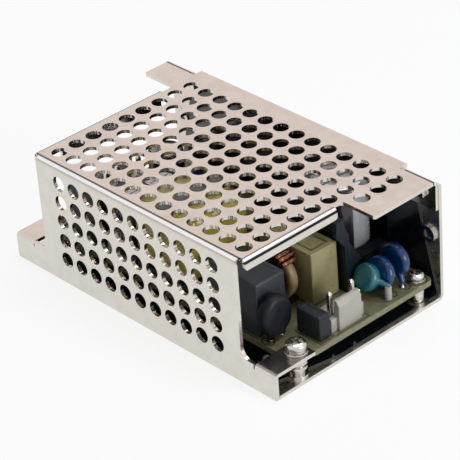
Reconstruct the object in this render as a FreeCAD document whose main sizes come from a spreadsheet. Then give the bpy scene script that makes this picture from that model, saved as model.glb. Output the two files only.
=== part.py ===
import FreeCAD, Part
import math
import os
import re
import Sketcher

# Open frame power supply in a folded, perforated sheet metal case.
# Frame: X runs along the case, +X is the mains input end, the perforated wall is at -Y,
# Z is up and the origin is the middle of the case's underside. Sizes are in millimetres.

doc = FreeCAD.newDocument("PowerSupply")
sheet = doc.addObject("Spreadsheet::Sheet", "Sizes")
values = {}


def size(prefix="", **named):
    """Write named sizes into the sheet, each with its alias."""
    for word, number in named.items():
        alias = prefix + word[0].upper() + word[1:] if prefix else word
        row = len(values) + 1
        sheet.set("A%d" % row, alias)
        sheet.set("B%d" % row, str(number))
        sheet.setAlias("B%d" % row, alias)
        values[alias] = number


def cell(text):
    """Turn an expression in plain aliases into one that reads the sheet."""
    def expand(match):
        word = match.group(0)
        return "Sizes." + word if word in values else word
    return re.sub(r"[A-Za-z]\w*", expand, text)


def number(text):
    return float(sheet.evalExpression(cell(text)))


# Case: two folded sheets
size(caseLength=103.4, caseWidth=62, caseHeight=37, sheetThickness=1, bendRadius=1.5, innerBend=0.5)
size("cover", frontEdge=10.2, backEdge=10.7, lipDrop=3.2, lipStart=1.8, frontLipEnd=34.2, backLipEnd=46.5)
size("tongue", frontStart=37.5, backStart=50.8, inset=0.2, notchDepth=0.3, notchRadius=1.6)
size("tab", drop=8.9, length=10, reliefWidth=1.7, reliefDepth=2)
size("wall", frontEdge=12.3, backEdge=13.2, cornerRadius=2.8, farHeight=35.4, seamGap=0.1)
size("ledge", top=7.8, depth=14.2, length=7.5, cornerRadius=0.8, relief=0.35)
size("hole", pitch=6, diameter=4.5, topMarginX=5.7, topMarginY=6, sideMarginX=9.2, sideMarginTop=5)

# Board and what carries it
size("board", thickness=1.6, underside=6, frontGap=0.5, backGap=1.3, nearGap=7.9, farGap=3.3)
size("board", cornerRadius=1.5, notchClearance=0.4, screwInset=3.2, holeGap=0.1)
size("film", thickness=0.3, clearance=0.1, frontGap=1.1, topGap=2.5, slant=6.5, cornerCut=4.5)
size("screw", headRadius=2.85, headHeight=2.1, threadRadius=1.5, crossWidth=0.8, crossDepth=1.2)
size("screw", washerThickness=0.5, lockThickness=0.9, smallHeadRadius=2.25, smallThreadRadius=1.25)
size("pillar", radius=2.8, neckRadius=2.1, collar=2.3, ring=0.7, gap=0.35, flange=0.6, boreRadius=1.25)
size("standoff", radius=2.1, boreRadius=1, roundness=0.8, flangeRadius=2.9)
size("clinch", boreRadius=1.25, flangeRadius=2.4, barrelRadius=1.9, flange=0.8, height=19.5, inset=3.7)
size("tabScrew", height=32, inset=4.6, headRadius=2.6, threadRadius=1.4)
size("insert", spacingX=76, spacingY=42, offsetX=0)

# Parts at the mains end: fromFront and fromNear are measured from the board's edges
size("fuse", length=8.5, width=3.9, height=7.5, fromFront=1.3, fromNear=10, edge=0.4)
size("header", baseDepth=6.4, baseWidth=11.8, baseHeight=3.9, fromFront=2.3, fromNear=15.1)
size("header", plateWidth=8.2, plateShift=0.3, plateThickness=1.9, plateHeight=8.7)
size("header", rampDrop=1.5, rampReach=0.3)
size("header", pinSize=1.14, pinHeight=10.8, pinSpan=7.92, pinBack=2.3, pinTail=2.2, pinGap=0.03)
size("greyBox", length=18, width=10.4, height=13.5, fromFront=14.6, fromNear=1.1, edge=0.7)
size("yellowBox", length=18, width=7.9, height=14.9, fromFront=15.8, fromNear=21.4, edge=0.6)
size("thermistor", radius=5.1, thickness=3.8, fromFront=11.8, fromNear=4.4, lead=0.4, rise=1.9)
size("choke", outerRadius=6.2, innerRadius=3.1, width=4.6, wire=0.55, arc=126, fromFront=25.7, fromNear=17.1)
size("choke", baseLength=12, baseWidth=6.6, baseHeight=1.2)
size("disc", thickness=2.6, lead=0.35)
size("tealCap", fromFront=8.4, fromNear=34.5, tilt=30, radius=3.8, rise=1.7)
size("tealCap", legXA=6.1, legYA=1.6, legHighA=4.2, legXB=-2.6, legYB=-0.6, legHighB=1.2)
size("nearBlueCap", fromFront=7, fromNear=38.2, tilt=14, radius=4.6, rise=0.7)
size("nearBlueCap", legXA=3.4, legYA=0, legHighA=0.8, legXB=-3.4, legYB=0, legHighB=0.8)
size("farBlueCap", fromFront=6.9, fromNear=43.9, tilt=0, radius=4.6, rise=2.2)
size("farBlueCap", legXA=3.4, legYA=-1.2, legHighA=1.9, legXB=-3.4, legYB=0, legHighB=1.4)
size("bridge", thickness=3.4, width=13.6, height=7, fromFront=13.2, fromNear=36)
size("bridge", lead=0.5, rise=0.9, chamfer=2.2)
size("bulk", radius=8.2, height=25.6, fromFront=25.6, fromNear=41.9, grooveDepth=0.45, grooveHeight=3.2)
size("bulk", rimWidth=1.5, rimRise=0.35)
size("primarySink", thickness=1.5, frontX=12.3, length=34, height=22.6, fromNear=31, slope=5.3)
size("flange", footReach=4.8, footHeight=8.1, reach=5.9, neckHeight=17.3, neckShift=0.1)
size("flange", fingerReach=2.9, fingerDrop=4, throatHeight=14.1)
size("device", width=10, bodyHeight=9.2, thickness=4.4, tabHeight=6, tabThickness=1.3)
size("device", lead=0.8, holeRadius=1.8, rise=4.5, leadSpan=2.54)

# Transformer, middle of the board
size("transformer", centreX=1.2, fromNear=12.2, width=24, depth=19, coreWidth=6.6, coreDepth=21.4, leg=4.2)
size("transformer", coreHeight=24.4, baseHeight=3.4)

# Low parts between transformer and far edge
size("coupler", length=6.4, width=4.6, height=3.4, fromFront=57, fromNear=38)
size("chip", length=4.9, width=3.9, height=1.6, fromFront=43, fromNear=36)
size("smallCap", radius=2.5, height=11, fromFront=40.5, fromNear=45.5)
size("snubber", length=11, radius=2.1, lead=0.4, rise=0.6, fromFront=62, fromNear=33.4)
size("feedbackCap", length=7.2, width=4, height=6.5, fromFront=52, fromNear=45.2, edge=0.5)

# Parts at the output end: fromBack is measured from the board's back edge
size("outputSink", thickness=1.5, length=12.6, height=22.5, fromBack=12.4, fromNear=1.6)
size("outputCap", radius=5, height=19.5, grooveDepth=0.35, grooveHeight=2.6, rimWidth=1, rimRise=0.3)
size("outputCap", fromBackA=32.6, fromNearA=6.3, fromBackB=32.6, fromNearB=17.4, fromBackC=22, fromNearC=29)
size("inductor", radius=5.6, height=12, coreFlange=1.8, waist=4.6, fromBack=21.6, fromNear=16)
size("outputHeader", pins=4, pitch=3.96, baseDepth=8.5, fromBack=2.2, fromNear=17)
size("trimmer", length=6.6, width=6.6, height=4.2, screwRadius=1.2, fromBack=9, fromNear=41)
size("lamp", radius=1.5, height=4.4, fromBack=4.2, fromNear=41.5)
size("resistor", length=6.3, radius=1.15, lead=0.3, rise=0.3, pitch=4, count=4, fromBack=26, fromNear=37)

doc.recompute()

# Shared places, as expressions in the sheet's names
caseFront = "(caseLength / 2)"
caseBack = "(-caseLength / 2)"
caseNear = "(-caseWidth / 2)"
caseFar = "(caseWidth / 2)"
wallInside = "(caseWidth / 2 - sheetThickness)"
boardFront = "(caseLength / 2 - boardFrontGap)"
boardBack = "(-caseLength / 2 + boardBackGap)"
boardNear = "(-caseWidth / 2 + boardNearGap)"
boardFar = "(caseWidth / 2 - boardFarGap)"
boardTop = "(boardUnderside + boardThickness)"
coverFront = "(caseLength / 2 - coverFrontEdge)"
coverBack = "(-caseLength / 2 + coverBackEdge)"
ledgeFrontX = "(caseLength / 2 - ledgeLength)"
screwX = "(caseLength / 2 - boardFrontGap - boardScrewInset)"
backScrewX = "(-caseLength / 2 + boardBackGap + boardScrewInset)"
nearScrewY = "(-caseWidth / 2 + boardNearGap + boardScrewInset)"
farScrewY = "(caseWidth / 2 - boardFarGap - boardScrewInset)"
nodes = []
drills = []


def node(thing, label):
    """Give a finished sub-part its own label, which names its file."""
    thing.Label = label
    nodes.append(thing)
    return thing


def bound(thing, **expressions):
    for prop, text in expressions.items():
        thing.setExpression(prop, cell(text))
    return thing


def placed(thing, at, rotation=None):
    if rotation is not None:
        thing.Placement.Rotation = rotation
    for axis, text in zip("xyz", at):
        thing.setExpression("Placement.Base." + axis, cell(text))
    return thing


alongX = FreeCAD.Rotation(FreeCAD.Vector(0, 1, 0), 90)
alongY = FreeCAD.Rotation(FreeCAD.Vector(1, 0, 0), -90)
upright = FreeCAD.Rotation()


def block(name, length, width, height, at):
    return placed(bound(doc.addObject("Part::Box", name), Length=length, Width=width, Height=height), at)


def rod(name, radius, height, at, rotation=upright):
    return placed(bound(doc.addObject("Part::Cylinder", name), Radius=radius, Height=height), at, rotation)


def joined(name, things):
    result = doc.addObject("Part::MultiFuse", name)
    result.Shapes = things
    return result


def less(name, base, tool):
    result = doc.addObject("Part::Cut", name)
    result.Base = base
    result.Tool = tool
    return result


def grouped(name, things):
    result = doc.addObject("Part::Compound", name)
    result.Links = things
    return result


def roundedEdges(name, base, radius, pick):
    """Round the edges of a finished solid that a test picks by their place."""
    doc.recompute()
    result = doc.addObject("Part::Fillet", name)
    result.Base = base
    amount = number(radius)
    result.Edges = [(i + 1, amount, amount) for i, edge in enumerate(base.Shape.Edges) if pick(edge)]
    return result


def isVertical(edge):
    first, last = edge.Vertexes[0].Point, edge.Vertexes[-1].Point
    return abs(first.x - last.x) < 1e-6 and abs(first.y - last.y) < 1e-6 and abs(first.z - last.z) > 1e-3


def topOf(base):
    return base.Shape.BoundBox.ZMax


# Sketches in a body
def plane(body, role):
    return next(f for f in body.Origin.OriginFeatures if f.Role == role)


def sketchOn(body, name, role, offset):
    sketch = body.newObject("Sketcher::SketchObject", name)
    sketch.AttachmentSupport = (plane(body, role), "")
    sketch.MapMode = "FlatFace"
    sketch.setExpression("AttachmentOffset.Base.z", cell(offset))
    return sketch


def pin(sketch, geometry, point, x, y):
    """Tie one point of a sketch to two expressions."""
    for kind, text in (("DistanceX", x), ("DistanceY", y)):
        index = sketch.addConstraint(Sketcher.Constraint(kind, -1, 1, geometry, point, number(text)))
        sketch.setExpression("Constraints[%d]" % index, cell(text))


def outline(body, name, role, points, offset="0"):
    """A closed polygon whose corners are expressions."""
    sketch = sketchOn(body, name, role, offset)
    corners = [FreeCAD.Vector(number(x), number(y), 0) for x, y in points]
    count = len(corners)
    for i in range(count):
        sketch.addGeometry(Part.LineSegment(corners[i], corners[(i + 1) % count]), False)
    for i in range(count):
        sketch.addConstraint(Sketcher.Constraint("Coincident", i, 2, (i + 1) % count, 1))
    for i, (x, y) in enumerate(points):
        pin(sketch, i, 1, x, y)
    return sketch


def rectangle(body, name, role, x, y, offset="0"):
    (left, right), (low, high) = x, y
    return outline(body, name, role, [(left, low), (right, low), (right, high), (left, high)], offset)


def circles(body, name, role, centres, radius, offset="0"):
    sketch = sketchOn(body, name, role, offset)
    for i, (x, y) in enumerate(centres):
        centre = FreeCAD.Vector(number(x), number(y), 0)
        sketch.addGeometry(Part.Circle(centre, FreeCAD.Vector(0, 0, 1), number(radius)), False)
        index = sketch.addConstraint(Sketcher.Constraint("Radius", i, number(radius)))
        sketch.setExpression("Constraints[%d]" % index, cell(radius))
        pin(sketch, i, 3, x, y)
    return sketch


def feature(body, kind, name, sketch, length, reverse=False, midplane=False):
    result = body.newObject("PartDesign::" + kind, name)
    result.Profile = sketch
    bound(result, Length=length)
    result.Reversed = reverse
    if midplane:
        result.SideType = "Symmetric"
    doc.recompute()
    return result


def pad(body, name, sketch, length, reverse=False, midplane=False):
    return feature(body, "Pad", name, sketch, length, reverse, midplane)


def pocket(body, name, sketch, length, reverse=False, midplane=False):
    before = body.Shape.Volume
    result = feature(body, "Pocket", name, sketch, length, reverse, midplane)
    assert body.Shape.Volume < before - 1e-6, name + " cuts nothing"
    return result


def turned(body, name, points):
    """A solid of revolution about Z from a half section in radius and height."""
    sketch = outline(body, name + "Section", "XZ_Plane", points)
    result = body.newObject("PartDesign::Revolution", name)
    result.Profile = sketch
    result.ReferenceAxis = (sketch, ["V_Axis"])
    result.Angle = 360
    doc.recompute()
    return result


def fillet(body, name, radius, pick, base=None):
    """Round the edges of the body's last solid that a test picks by their place."""
    base = base or body.Tip
    names = ["Edge%d" % (i + 1) for i, edge in enumerate(base.Shape.Edges) if pick(edge)]
    assert names, name + " finds no edge"
    result = body.newObject("PartDesign::Fillet", name)
    result.Base = (base, names)
    bound(result, Radius=radius)
    doc.recompute()
    return result


def lies(edge, **place):
    """True where the whole edge keeps to the given X, Y or Z."""
    for axis, wanted in place.items():
        for point in (edge.Vertexes[0].Point, edge.Vertexes[-1].Point):
            if abs(getattr(point, axis) - wanted) > 1e-4:
                return False
    return True


def pattern(body, name, original, countX, axisX, countY, axisY, pitch="holePitch"):
    result = body.newObject("PartDesign::LinearPattern", name)
    result.Originals = [original]
    result.Direction = (plane(body, axisX), [""])
    result.Direction2 = (plane(body, axisY), [""])
    bound(result, Occurrences=countX, Occurrences2=countY)
    bound(result, Length="%s * (%s - 1)" % (pitch, countX), Length2="%s * (%s - 1)" % (pitch, countY))
    body.Tip = result
    doc.recompute()
    return result


# Cover: one sheet that makes the top, the near wall with its feet, lips, tabs and ledges
def makeCover():
    body = doc.addObject("PartDesign::Body", "Cover")
    nearWallFront = "(caseLength / 2 - wallFrontEdge)"
    nearWallBack = "(-caseLength / 2 + wallBackEdge)"
    section = outline(body, "CoverSection", "YZ_Plane", [
        (caseNear, "0"), (caseNear, "caseHeight"), (caseFar, "caseHeight"),
        (caseFar, "caseHeight - sheetThickness"),
        (caseNear + " + sheetThickness", "caseHeight - sheetThickness"),
        (caseNear + " + sheetThickness", "0")])
    pad(body, "CoverSheet", section, "caseLength", midplane=True)
    near, high = number(caseNear), number("caseHeight")
    fillet(body, "CoverBendOuter", "bendRadius", lambda e: lies(e, y=near, z=high))
    inner = number("sheetThickness")
    fillet(body, "CoverBendInner", "innerBend", lambda e: lies(e, y=near + inner, z=high - inner))

    # The near wall above its feet is shorter than the case
    beyondFront, beyondBack = "(caseLength / 2 + 1)", "(-caseLength / 2 - 1)"
    for name, inside, beyond in (("Front", nearWallFront, beyondFront), ("Back", nearWallBack, beyondBack)):
        area = rectangle(body, "WallEnd" + name, "XZ_Plane", (inside, beyond),
                         ("ledgeTop", "caseHeight - sheetThickness"), "caseWidth / 2 + 1")
        pocket(body, "WallTrim" + name, area, "sheetThickness + innerBend + 1", reverse=False)
        level = number("ledgeTop")
        x = number(inside)
        fillet(body, "WallCorner" + name, "wallCornerRadius", lambda e: lies(e, x=x, z=level))

    # The top's outline at both ends: lip side, relief notch, tongue
    ends = (("Front", coverFront, "(caseLength / 2 - tongueInset)", beyondFront, "1",
             "coverFrontLipEnd", "tongueFrontStart"),
            ("Back", coverBack, "(-caseLength / 2 + tongueInset)", beyondBack, "-1",
             "coverBackLipEnd", "tongueBackStart"))
    for name, edge, tongueEnd, beyond, sign, lipEnd, tongueStart in ends:
        lipY = "(-caseWidth / 2 + %s)" % lipEnd
        tongueY = "(-caseWidth / 2 + %s)" % tongueStart
        notch = "(%s - %s * (bendRadius + tongueNotchDepth))" % (edge, sign)
        wallX = nearWallFront if name == "Front" else nearWallBack
        nearLip = "(-caseWidth / 2 + coverLipStart)"
        area = outline(body, "TopEnd" + name, "XY_Plane", [
            (wallX, caseNear + " - 1"), (wallX, nearLip), (edge, nearLip), (edge, lipY), (notch, lipY),
            (notch, tongueY), (tongueEnd, tongueY), (tongueEnd, caseFar + " + 1"), (beyond, caseFar + " + 1"),
            (beyond, caseNear + " - 1")], "caseHeight - sheetThickness - innerBend")
        pocket(body, "TopTrim" + name, area, "sheetThickness + innerBend + 1", reverse=True)
        xs, ys = number(notch), (number(lipY), number(tongueY))
        fillet(body, "NotchRound" + name, "tongueNotchRadius",
               lambda e: isVertical(e) and lies(e, x=xs) and abs(e.Vertexes[0].Y - ys[1]) < 1e-4)
        cornerX = number(tongueEnd)
        fillet(body, "TongueRound" + name, "ledgeCornerRadius",
               lambda e: isVertical(e) and lies(e, x=cornerX, y=ys[1]))

        # Lip bent down over the open end
        lipSign = float(sign)
        inside = "(%s - %s * sheetThickness)" % (edge, sign)
        lip = rectangle(body, "LipOutline" + name, "XZ_Plane", (inside, edge),
                        ("caseHeight - coverLipDrop", "caseHeight"), "-" + lipY)
        pad(body, "Lip" + name, lip, "%s - coverLipStart" % lipEnd)
        x = number(edge)
        fillet(body, "LipBend" + name, "bendRadius", lambda e: lies(e, x=x, z=high))
        innerX = x - lipSign * inner
        fillet(body, "LipInner" + name, "innerBend", lambda e: lies(e, x=innerX, z=high - inner))
        low = high - number("coverLipDrop")
        fillet(body, "LipCorner" + name, "ledgeCornerRadius",
               lambda e: lies(e, z=low) and abs(e.Vertexes[0].Y - e.Vertexes[-1].Y) < 1e-4
               and abs(e.Vertexes[0].X - e.Vertexes[-1].X) > 0.5 and abs(e.Vertexes[0].X - x) < 2)

        # Far edge: relief notch, then a tab bent down inside the far wall
        tabOuter = wallInside
        tabStart = "(%s - %s * tabLength)" % (tongueEnd, sign)
        relief = "(%s - %s * tabReliefWidth)" % (tabStart, sign)
        area = outline(body, "FarEdge" + name, "XY_Plane", [
            (relief, caseFar + " + 1"), (relief, tabOuter + " - tabReliefDepth"),
            (tabStart, tabOuter + " - tabReliefDepth"), (tabStart, tabOuter), (beyond, tabOuter),
            (beyond, caseFar + " + 1")], "caseHeight - sheetThickness - 0.5")
        pocket(body, "FarTrim" + name, area, "sheetThickness + 1", reverse=True)
        tab = rectangle(body, "TabOutline" + name, "YZ_Plane", (tabOuter + " - sheetThickness", tabOuter),
                        ("caseHeight - tabDrop", "caseHeight"), tabStart)
        pad(body, "Tab" + name, tab, "tabLength", reverse=(name == "Back"))
        y = number(tabOuter)
        fillet(body, "TabBend" + name, "bendRadius",
               lambda e: lies(e, y=y, z=high) and e.Vertexes[0].X * lipSign > 0)
        fillet(body, "TabInner" + name, "innerBend",
               lambda e: lies(e, y=y - inner, z=high - inner) and e.Vertexes[0].X * lipSign > 0)
        screwAt = "(%s - %s * tabScrewInset)" % (tongueEnd, sign)
        hole = circles(body, "TabHole" + name, "XZ_Plane", [(screwAt, "tabScrewHeight")],
                       "tabScrewThreadRadius", "-" + tabOuter + " + sheetThickness + 1")
        pocket(body, "TabDrill" + name, hole, "sheetThickness + 2")

        # Ledge bent inward from the foot, drilled for the pillar's screw
        ledgeStart = "(%s * (caseLength / 2 - ledgeLength))" % sign
        ledge = rectangle(body, "LedgeOutline" + name, "YZ_Plane", (caseNear, caseNear + " + ledgeDepth"),
                          ("ledgeTop - sheetThickness", "ledgeTop"), ledgeStart)
        pad(body, "Ledge" + name, ledge, "ledgeLength", reverse=(name == "Back"))
        relief = rectangle(body, "LedgeRelief" + name, "XZ_Plane",
                           (ledgeStart + " - %s * ledgeRelief" % sign, ledgeStart),
                           ("ledgeTop - bendRadius", "ledgeTop + 1"), "caseWidth / 2 + 1")
        pocket(body, "LedgeReliefCut" + name, relief, "sheetThickness + 2")
        level, start = number("ledgeTop"), number("caseLength / 2 - ledgeLength")
        fillet(body, "LedgeBend" + name, "bendRadius - 0.2",
               lambda e: lies(e, y=near, z=level) and min(v.X * lipSign for v in e.Vertexes) > start - 1e-3)
        drill = screwX if name == "Front" else backScrewX
        hole = circles(body, "LedgeHole" + name, "XY_Plane", [(drill, nearScrewY)],
                       "screwThreadRadius + 0.05", "ledgeTop - sheetThickness - 1")
        pocket(body, "LedgeDrill" + name, hole, "sheetThickness + 2", reverse=True)

    # Ventilation: square grids of round holes in the top and the near wall
    firstX = "(-caseLength / 2 + coverBackEdge + holeTopMarginX)"
    firstY = "(-caseWidth / 2 + holeTopMarginY)"
    usableX = "(caseLength - coverFrontEdge - coverBackEdge - 2 * holeTopMarginX)"
    usableY = "(caseWidth - 2 * holeTopMarginY - 2)"
    columns = "(floor(%s / holePitch + 0.001) + 1)" % usableX
    rows = "(floor(%s / holePitch + 0.001) + 1)" % usableY
    seed = circles(body, "TopHoleCircle", "XY_Plane", [(firstX, firstY)], "holeDiameter / 2",
                   "caseHeight - sheetThickness - 0.5")
    cut = pocket(body, "TopHole", seed, "sheetThickness + 1", reverse=True)
    pattern(body, "TopHoles", cut, columns, "X_Axis", rows, "Y_Axis")
    extraX = "(%s + holePitch * %s)" % (firstX, columns)
    extraRow = "(ceil((tongueFrontStart + holeDiameter / 2 + 1 - holeTopMarginY) / holePitch))"
    seed = circles(body, "TongueHoleCircle", "XY_Plane",
                   [(extraX, "(%s + holePitch * %s)" % (firstY, extraRow))], "holeDiameter / 2",
                   "caseHeight - sheetThickness - 0.5")
    cut = pocket(body, "TongueHole", seed, "sheetThickness + 1", reverse=True)
    pattern(body, "TongueHoles", cut, "1", "X_Axis", "(%s - %s)" % (rows, extraRow), "Y_Axis")
    sideX = "(%s + holePitch)" % firstX
    sideColumns = "(floor((caseLength - wallFrontEdge - wallBackEdge - holeSideMarginX - 4) / holePitch) + 1)"
    sideRows = "(floor((caseHeight - holeSideMarginTop - ledgeTop) / holePitch) + 1)"
    sideZ = "(caseHeight - holeSideMarginTop - holePitch * (%s - 1))" % sideRows
    seed = circles(body, "SideHoleCircle", "XZ_Plane", [(sideX, sideZ)], "holeDiameter / 2",
                   "caseWidth / 2 + 0.5")
    cut = pocket(body, "SideHole", seed, "sheetThickness + 1")
    pattern(body, "SideHoles", cut, sideColumns, "X_Axis", sideRows, "Z_Axis")
    node(body, "case_cover")


# Base: one sheet that makes the bottom and the far wall
def makeBase():
    body = doc.addObject("PartDesign::Body", "Base")
    nearEdge = "(-caseWidth / 2 + sheetThickness + wallSeamGap)"
    section = outline(body, "BaseSection", "YZ_Plane", [
        (nearEdge, "0"), (caseFar, "0"), (caseFar, "wallFarHeight"), (wallInside, "wallFarHeight"),
        (wallInside, "sheetThickness"), (nearEdge, "sheetThickness")])
    pad(body, "BaseSheet", section, "caseLength", midplane=True)
    far, inner = number(caseFar), number("sheetThickness")
    fillet(body, "BaseBendOuter", "bendRadius", lambda e: lies(e, y=far, z=0))
    fillet(body, "BaseBendInner", "innerBend", lambda e: lies(e, y=far - inner, z=inner))
    places = [(screwX, nearScrewY), (backScrewX, nearScrewY), (screwX, farScrewY), (backScrewX, farScrewY)]
    holes = circles(body, "StandoffHoles", "XY_Plane", places, "pillarBoreRadius", "-1")
    pocket(body, "StandoffDrill", holes, "sheetThickness + 2", reverse=True)
    corners = [("%d * insertSpacingX / 2 + insertOffsetX" % i, "%d * insertSpacingY / 2" % j)
               for i in (-1, 1) for j in (-1, 1)]
    holes = circles(body, "InsertHoles", "XY_Plane", corners, "clinchBarrelRadius", "-1")
    pocket(body, "InsertDrill", holes, "sheetThickness + 2", reverse=True)
    sides = [("%d * (caseLength / 2 - clinchInset)" % i, "clinchHeight") for i in (-1, 1)]
    holes = circles(body, "SideInsertHoles", "XZ_Plane", sides, "clinchBarrelRadius", "-caseWidth / 2 - 1")
    pocket(body, "SideInsertDrill", holes, "sheetThickness + 2", reverse=True)
    screws = [("(caseLength / 2 - tongueInset - tabScrewInset)", "tabScrewHeight"),
              ("(-caseLength / 2 + tongueInset + tabScrewInset)", "tabScrewHeight")]
    holes = circles(body, "TabScrewHoles", "XZ_Plane", screws, "tabScrewHeadRadius", "-caseWidth / 2 - 1")
    pocket(body, "TabScrewDrill", holes, "sheetThickness + 2", reverse=True)
    node(body, "case_base")


# Insulating film: bottom and far wall, its end edges cut back and slanted
def makeFilm():
    body = doc.addObject("PartDesign::Body", "Film")
    low = "(sheetThickness + filmClearance)"
    near = "(-caseWidth / 2 + sheetThickness + 0.6)"
    far = "(caseWidth / 2 - sheetThickness - filmClearance)"
    top = "(caseHeight - sheetThickness - filmTopGap)"
    section = outline(body, "FilmSection", "YZ_Plane", [
        (near, low), (far, low), (far, top), (far + " - filmThickness", top),
        (far + " - filmThickness", low + " + filmThickness"), (near, low + " + filmThickness")])
    pad(body, "FilmSheet", section, "caseLength - 2 * filmFrontGap", midplane=True)
    farY, lowZ, thick = number(far), number(low), number("filmThickness")
    fillet(body, "FilmBendOuter", "innerBend + filmThickness", lambda e: lies(e, y=farY, z=lowZ))
    fillet(body, "FilmBendInner", "innerBend", lambda e: lies(e, y=farY - thick, z=lowZ + thick))
    for name, sign in (("Front", "1"), ("Back", "-1")):
        end = "(%s * (caseLength / 2 - filmFrontGap))" % sign
        past = "(%s * (caseLength / 2 + 1))" % sign
        step = "(caseHeight - tabDrop - 0.4)"
        slanted = "(%s - %s * filmSlant)" % (end, sign)
        inside = "(%s * (caseLength / 2 - tongueInset - tabLength - tabReliefWidth))" % sign
        area = outline(body, "FilmSlant" + name, "XZ_Plane", [
            (end, low + " + filmThickness + innerBend"), (slanted, step), (inside, step),
            (inside, top + " + 1"), (past, top + " + 1"), (past, low)], "-caseWidth / 2")
        pocket(body, "FilmWallCut" + name, area, "sheetThickness + filmClearance + filmThickness + 0.2",
               reverse=True)
        area = outline(body, "FilmNearCorner" + name, "XY_Plane", [
            ("(%s - %s * filmCornerCut)" % (end, sign), near + " - 1"), (end, near + " + ledgeDepth + 8"),
            (past, near + " + ledgeDepth + 8"), (past, near + " - 1")], "0")
        pocket(body, "FilmCornerCut" + name, area, low + " + filmThickness + 1", reverse=True)
    places = [(screwX, nearScrewY), (backScrewX, nearScrewY), (screwX, farScrewY), (backScrewX, farScrewY)]
    holes = circles(body, "FilmPillarHoles", "XY_Plane", places, "standoffFlangeRadius + 0.3", "0")
    pocket(body, "FilmPillarCut", holes, "sheetThickness + 2", reverse=True)
    corners = [("%d * insertSpacingX / 2 + insertOffsetX" % i, "%d * insertSpacingY / 2" % j)
               for i in (-1, 1) for j in (-1, 1)]
    holes = circles(body, "FilmInsertHoles", "XY_Plane", corners, "clinchFlangeRadius + 0.3", "0")
    pocket(body, "FilmInsertCut", holes, "sheetThickness + 2", reverse=True)
    sides = [("%d * (caseLength / 2 - clinchInset)" % i, "clinchHeight") for i in (-1, 1)]
    holes = circles(body, "FilmSideHoles", "XZ_Plane", sides, "clinchFlangeRadius + 0.3", "-caseWidth / 2")
    pocket(body, "FilmSideCut", holes, "sheetThickness + 2", reverse=True)
    node(body, "insulation_film")


# Circuit board, cut away round the ledges
def makeBoard():
    body = doc.addObject("PartDesign::Body", "Board")
    area = rectangle(body, "BoardOutline", "XY_Plane", (boardBack, boardFront), (boardNear, boardFar),
                     "boardUnderside")
    pad(body, "BoardSheet", area, "boardThickness")
    for name, sign, end in (("Front", "1", boardFront), ("Back", "-1", boardBack)):
        inside = "(%s * (caseLength / 2 - ledgeLength - boardNotchClearance))" % sign
        past = "(%s + %s)" % (end, sign)
        depth = "(-caseWidth / 2 + ledgeDepth + boardNotchClearance)"
        area = rectangle(body, "BoardNotch" + name, "XY_Plane", (inside, past), (boardNear + " - 1", depth),
                         "boardUnderside - 1")
        pocket(body, "BoardNotchCut" + name, area, "boardThickness + 2", reverse=True)
    holes = circles(body, "BoardHoles", "XY_Plane", [(screwX, farScrewY), (backScrewX, farScrewY)],
                    "screwSmallThreadRadius + 0.05", "boardUnderside - 1")
    pocket(body, "BoardDrill", holes, "boardThickness + 2", reverse=True)
    far = number(boardFar)
    fillet(body, "BoardCorners", "boardCornerRadius", lambda e: isVertical(e) and lies(e, y=far))
    return body


def leadHole(x, y, radius):
    """Keep a drilled hole for a lead, cut from the board once all parts are placed."""
    drills.append(rod("LeadHole%d" % len(drills), radius + " + boardHoleGap", "boardThickness + 2",
                      (x, y, "boardUnderside - 1")))


def turnedGroup(label, sections, places):
    """Copies of one turned piece, as separate solids of one node."""
    copies = []
    for i, (x, y) in enumerate(places):
        body = doc.addObject("PartDesign::Body", "%s%d" % (label, i + 1))
        turned(body, "Turned", sections)
        placed(body, (x, y, "0"))
        copies.append(body)
    return copies


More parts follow.
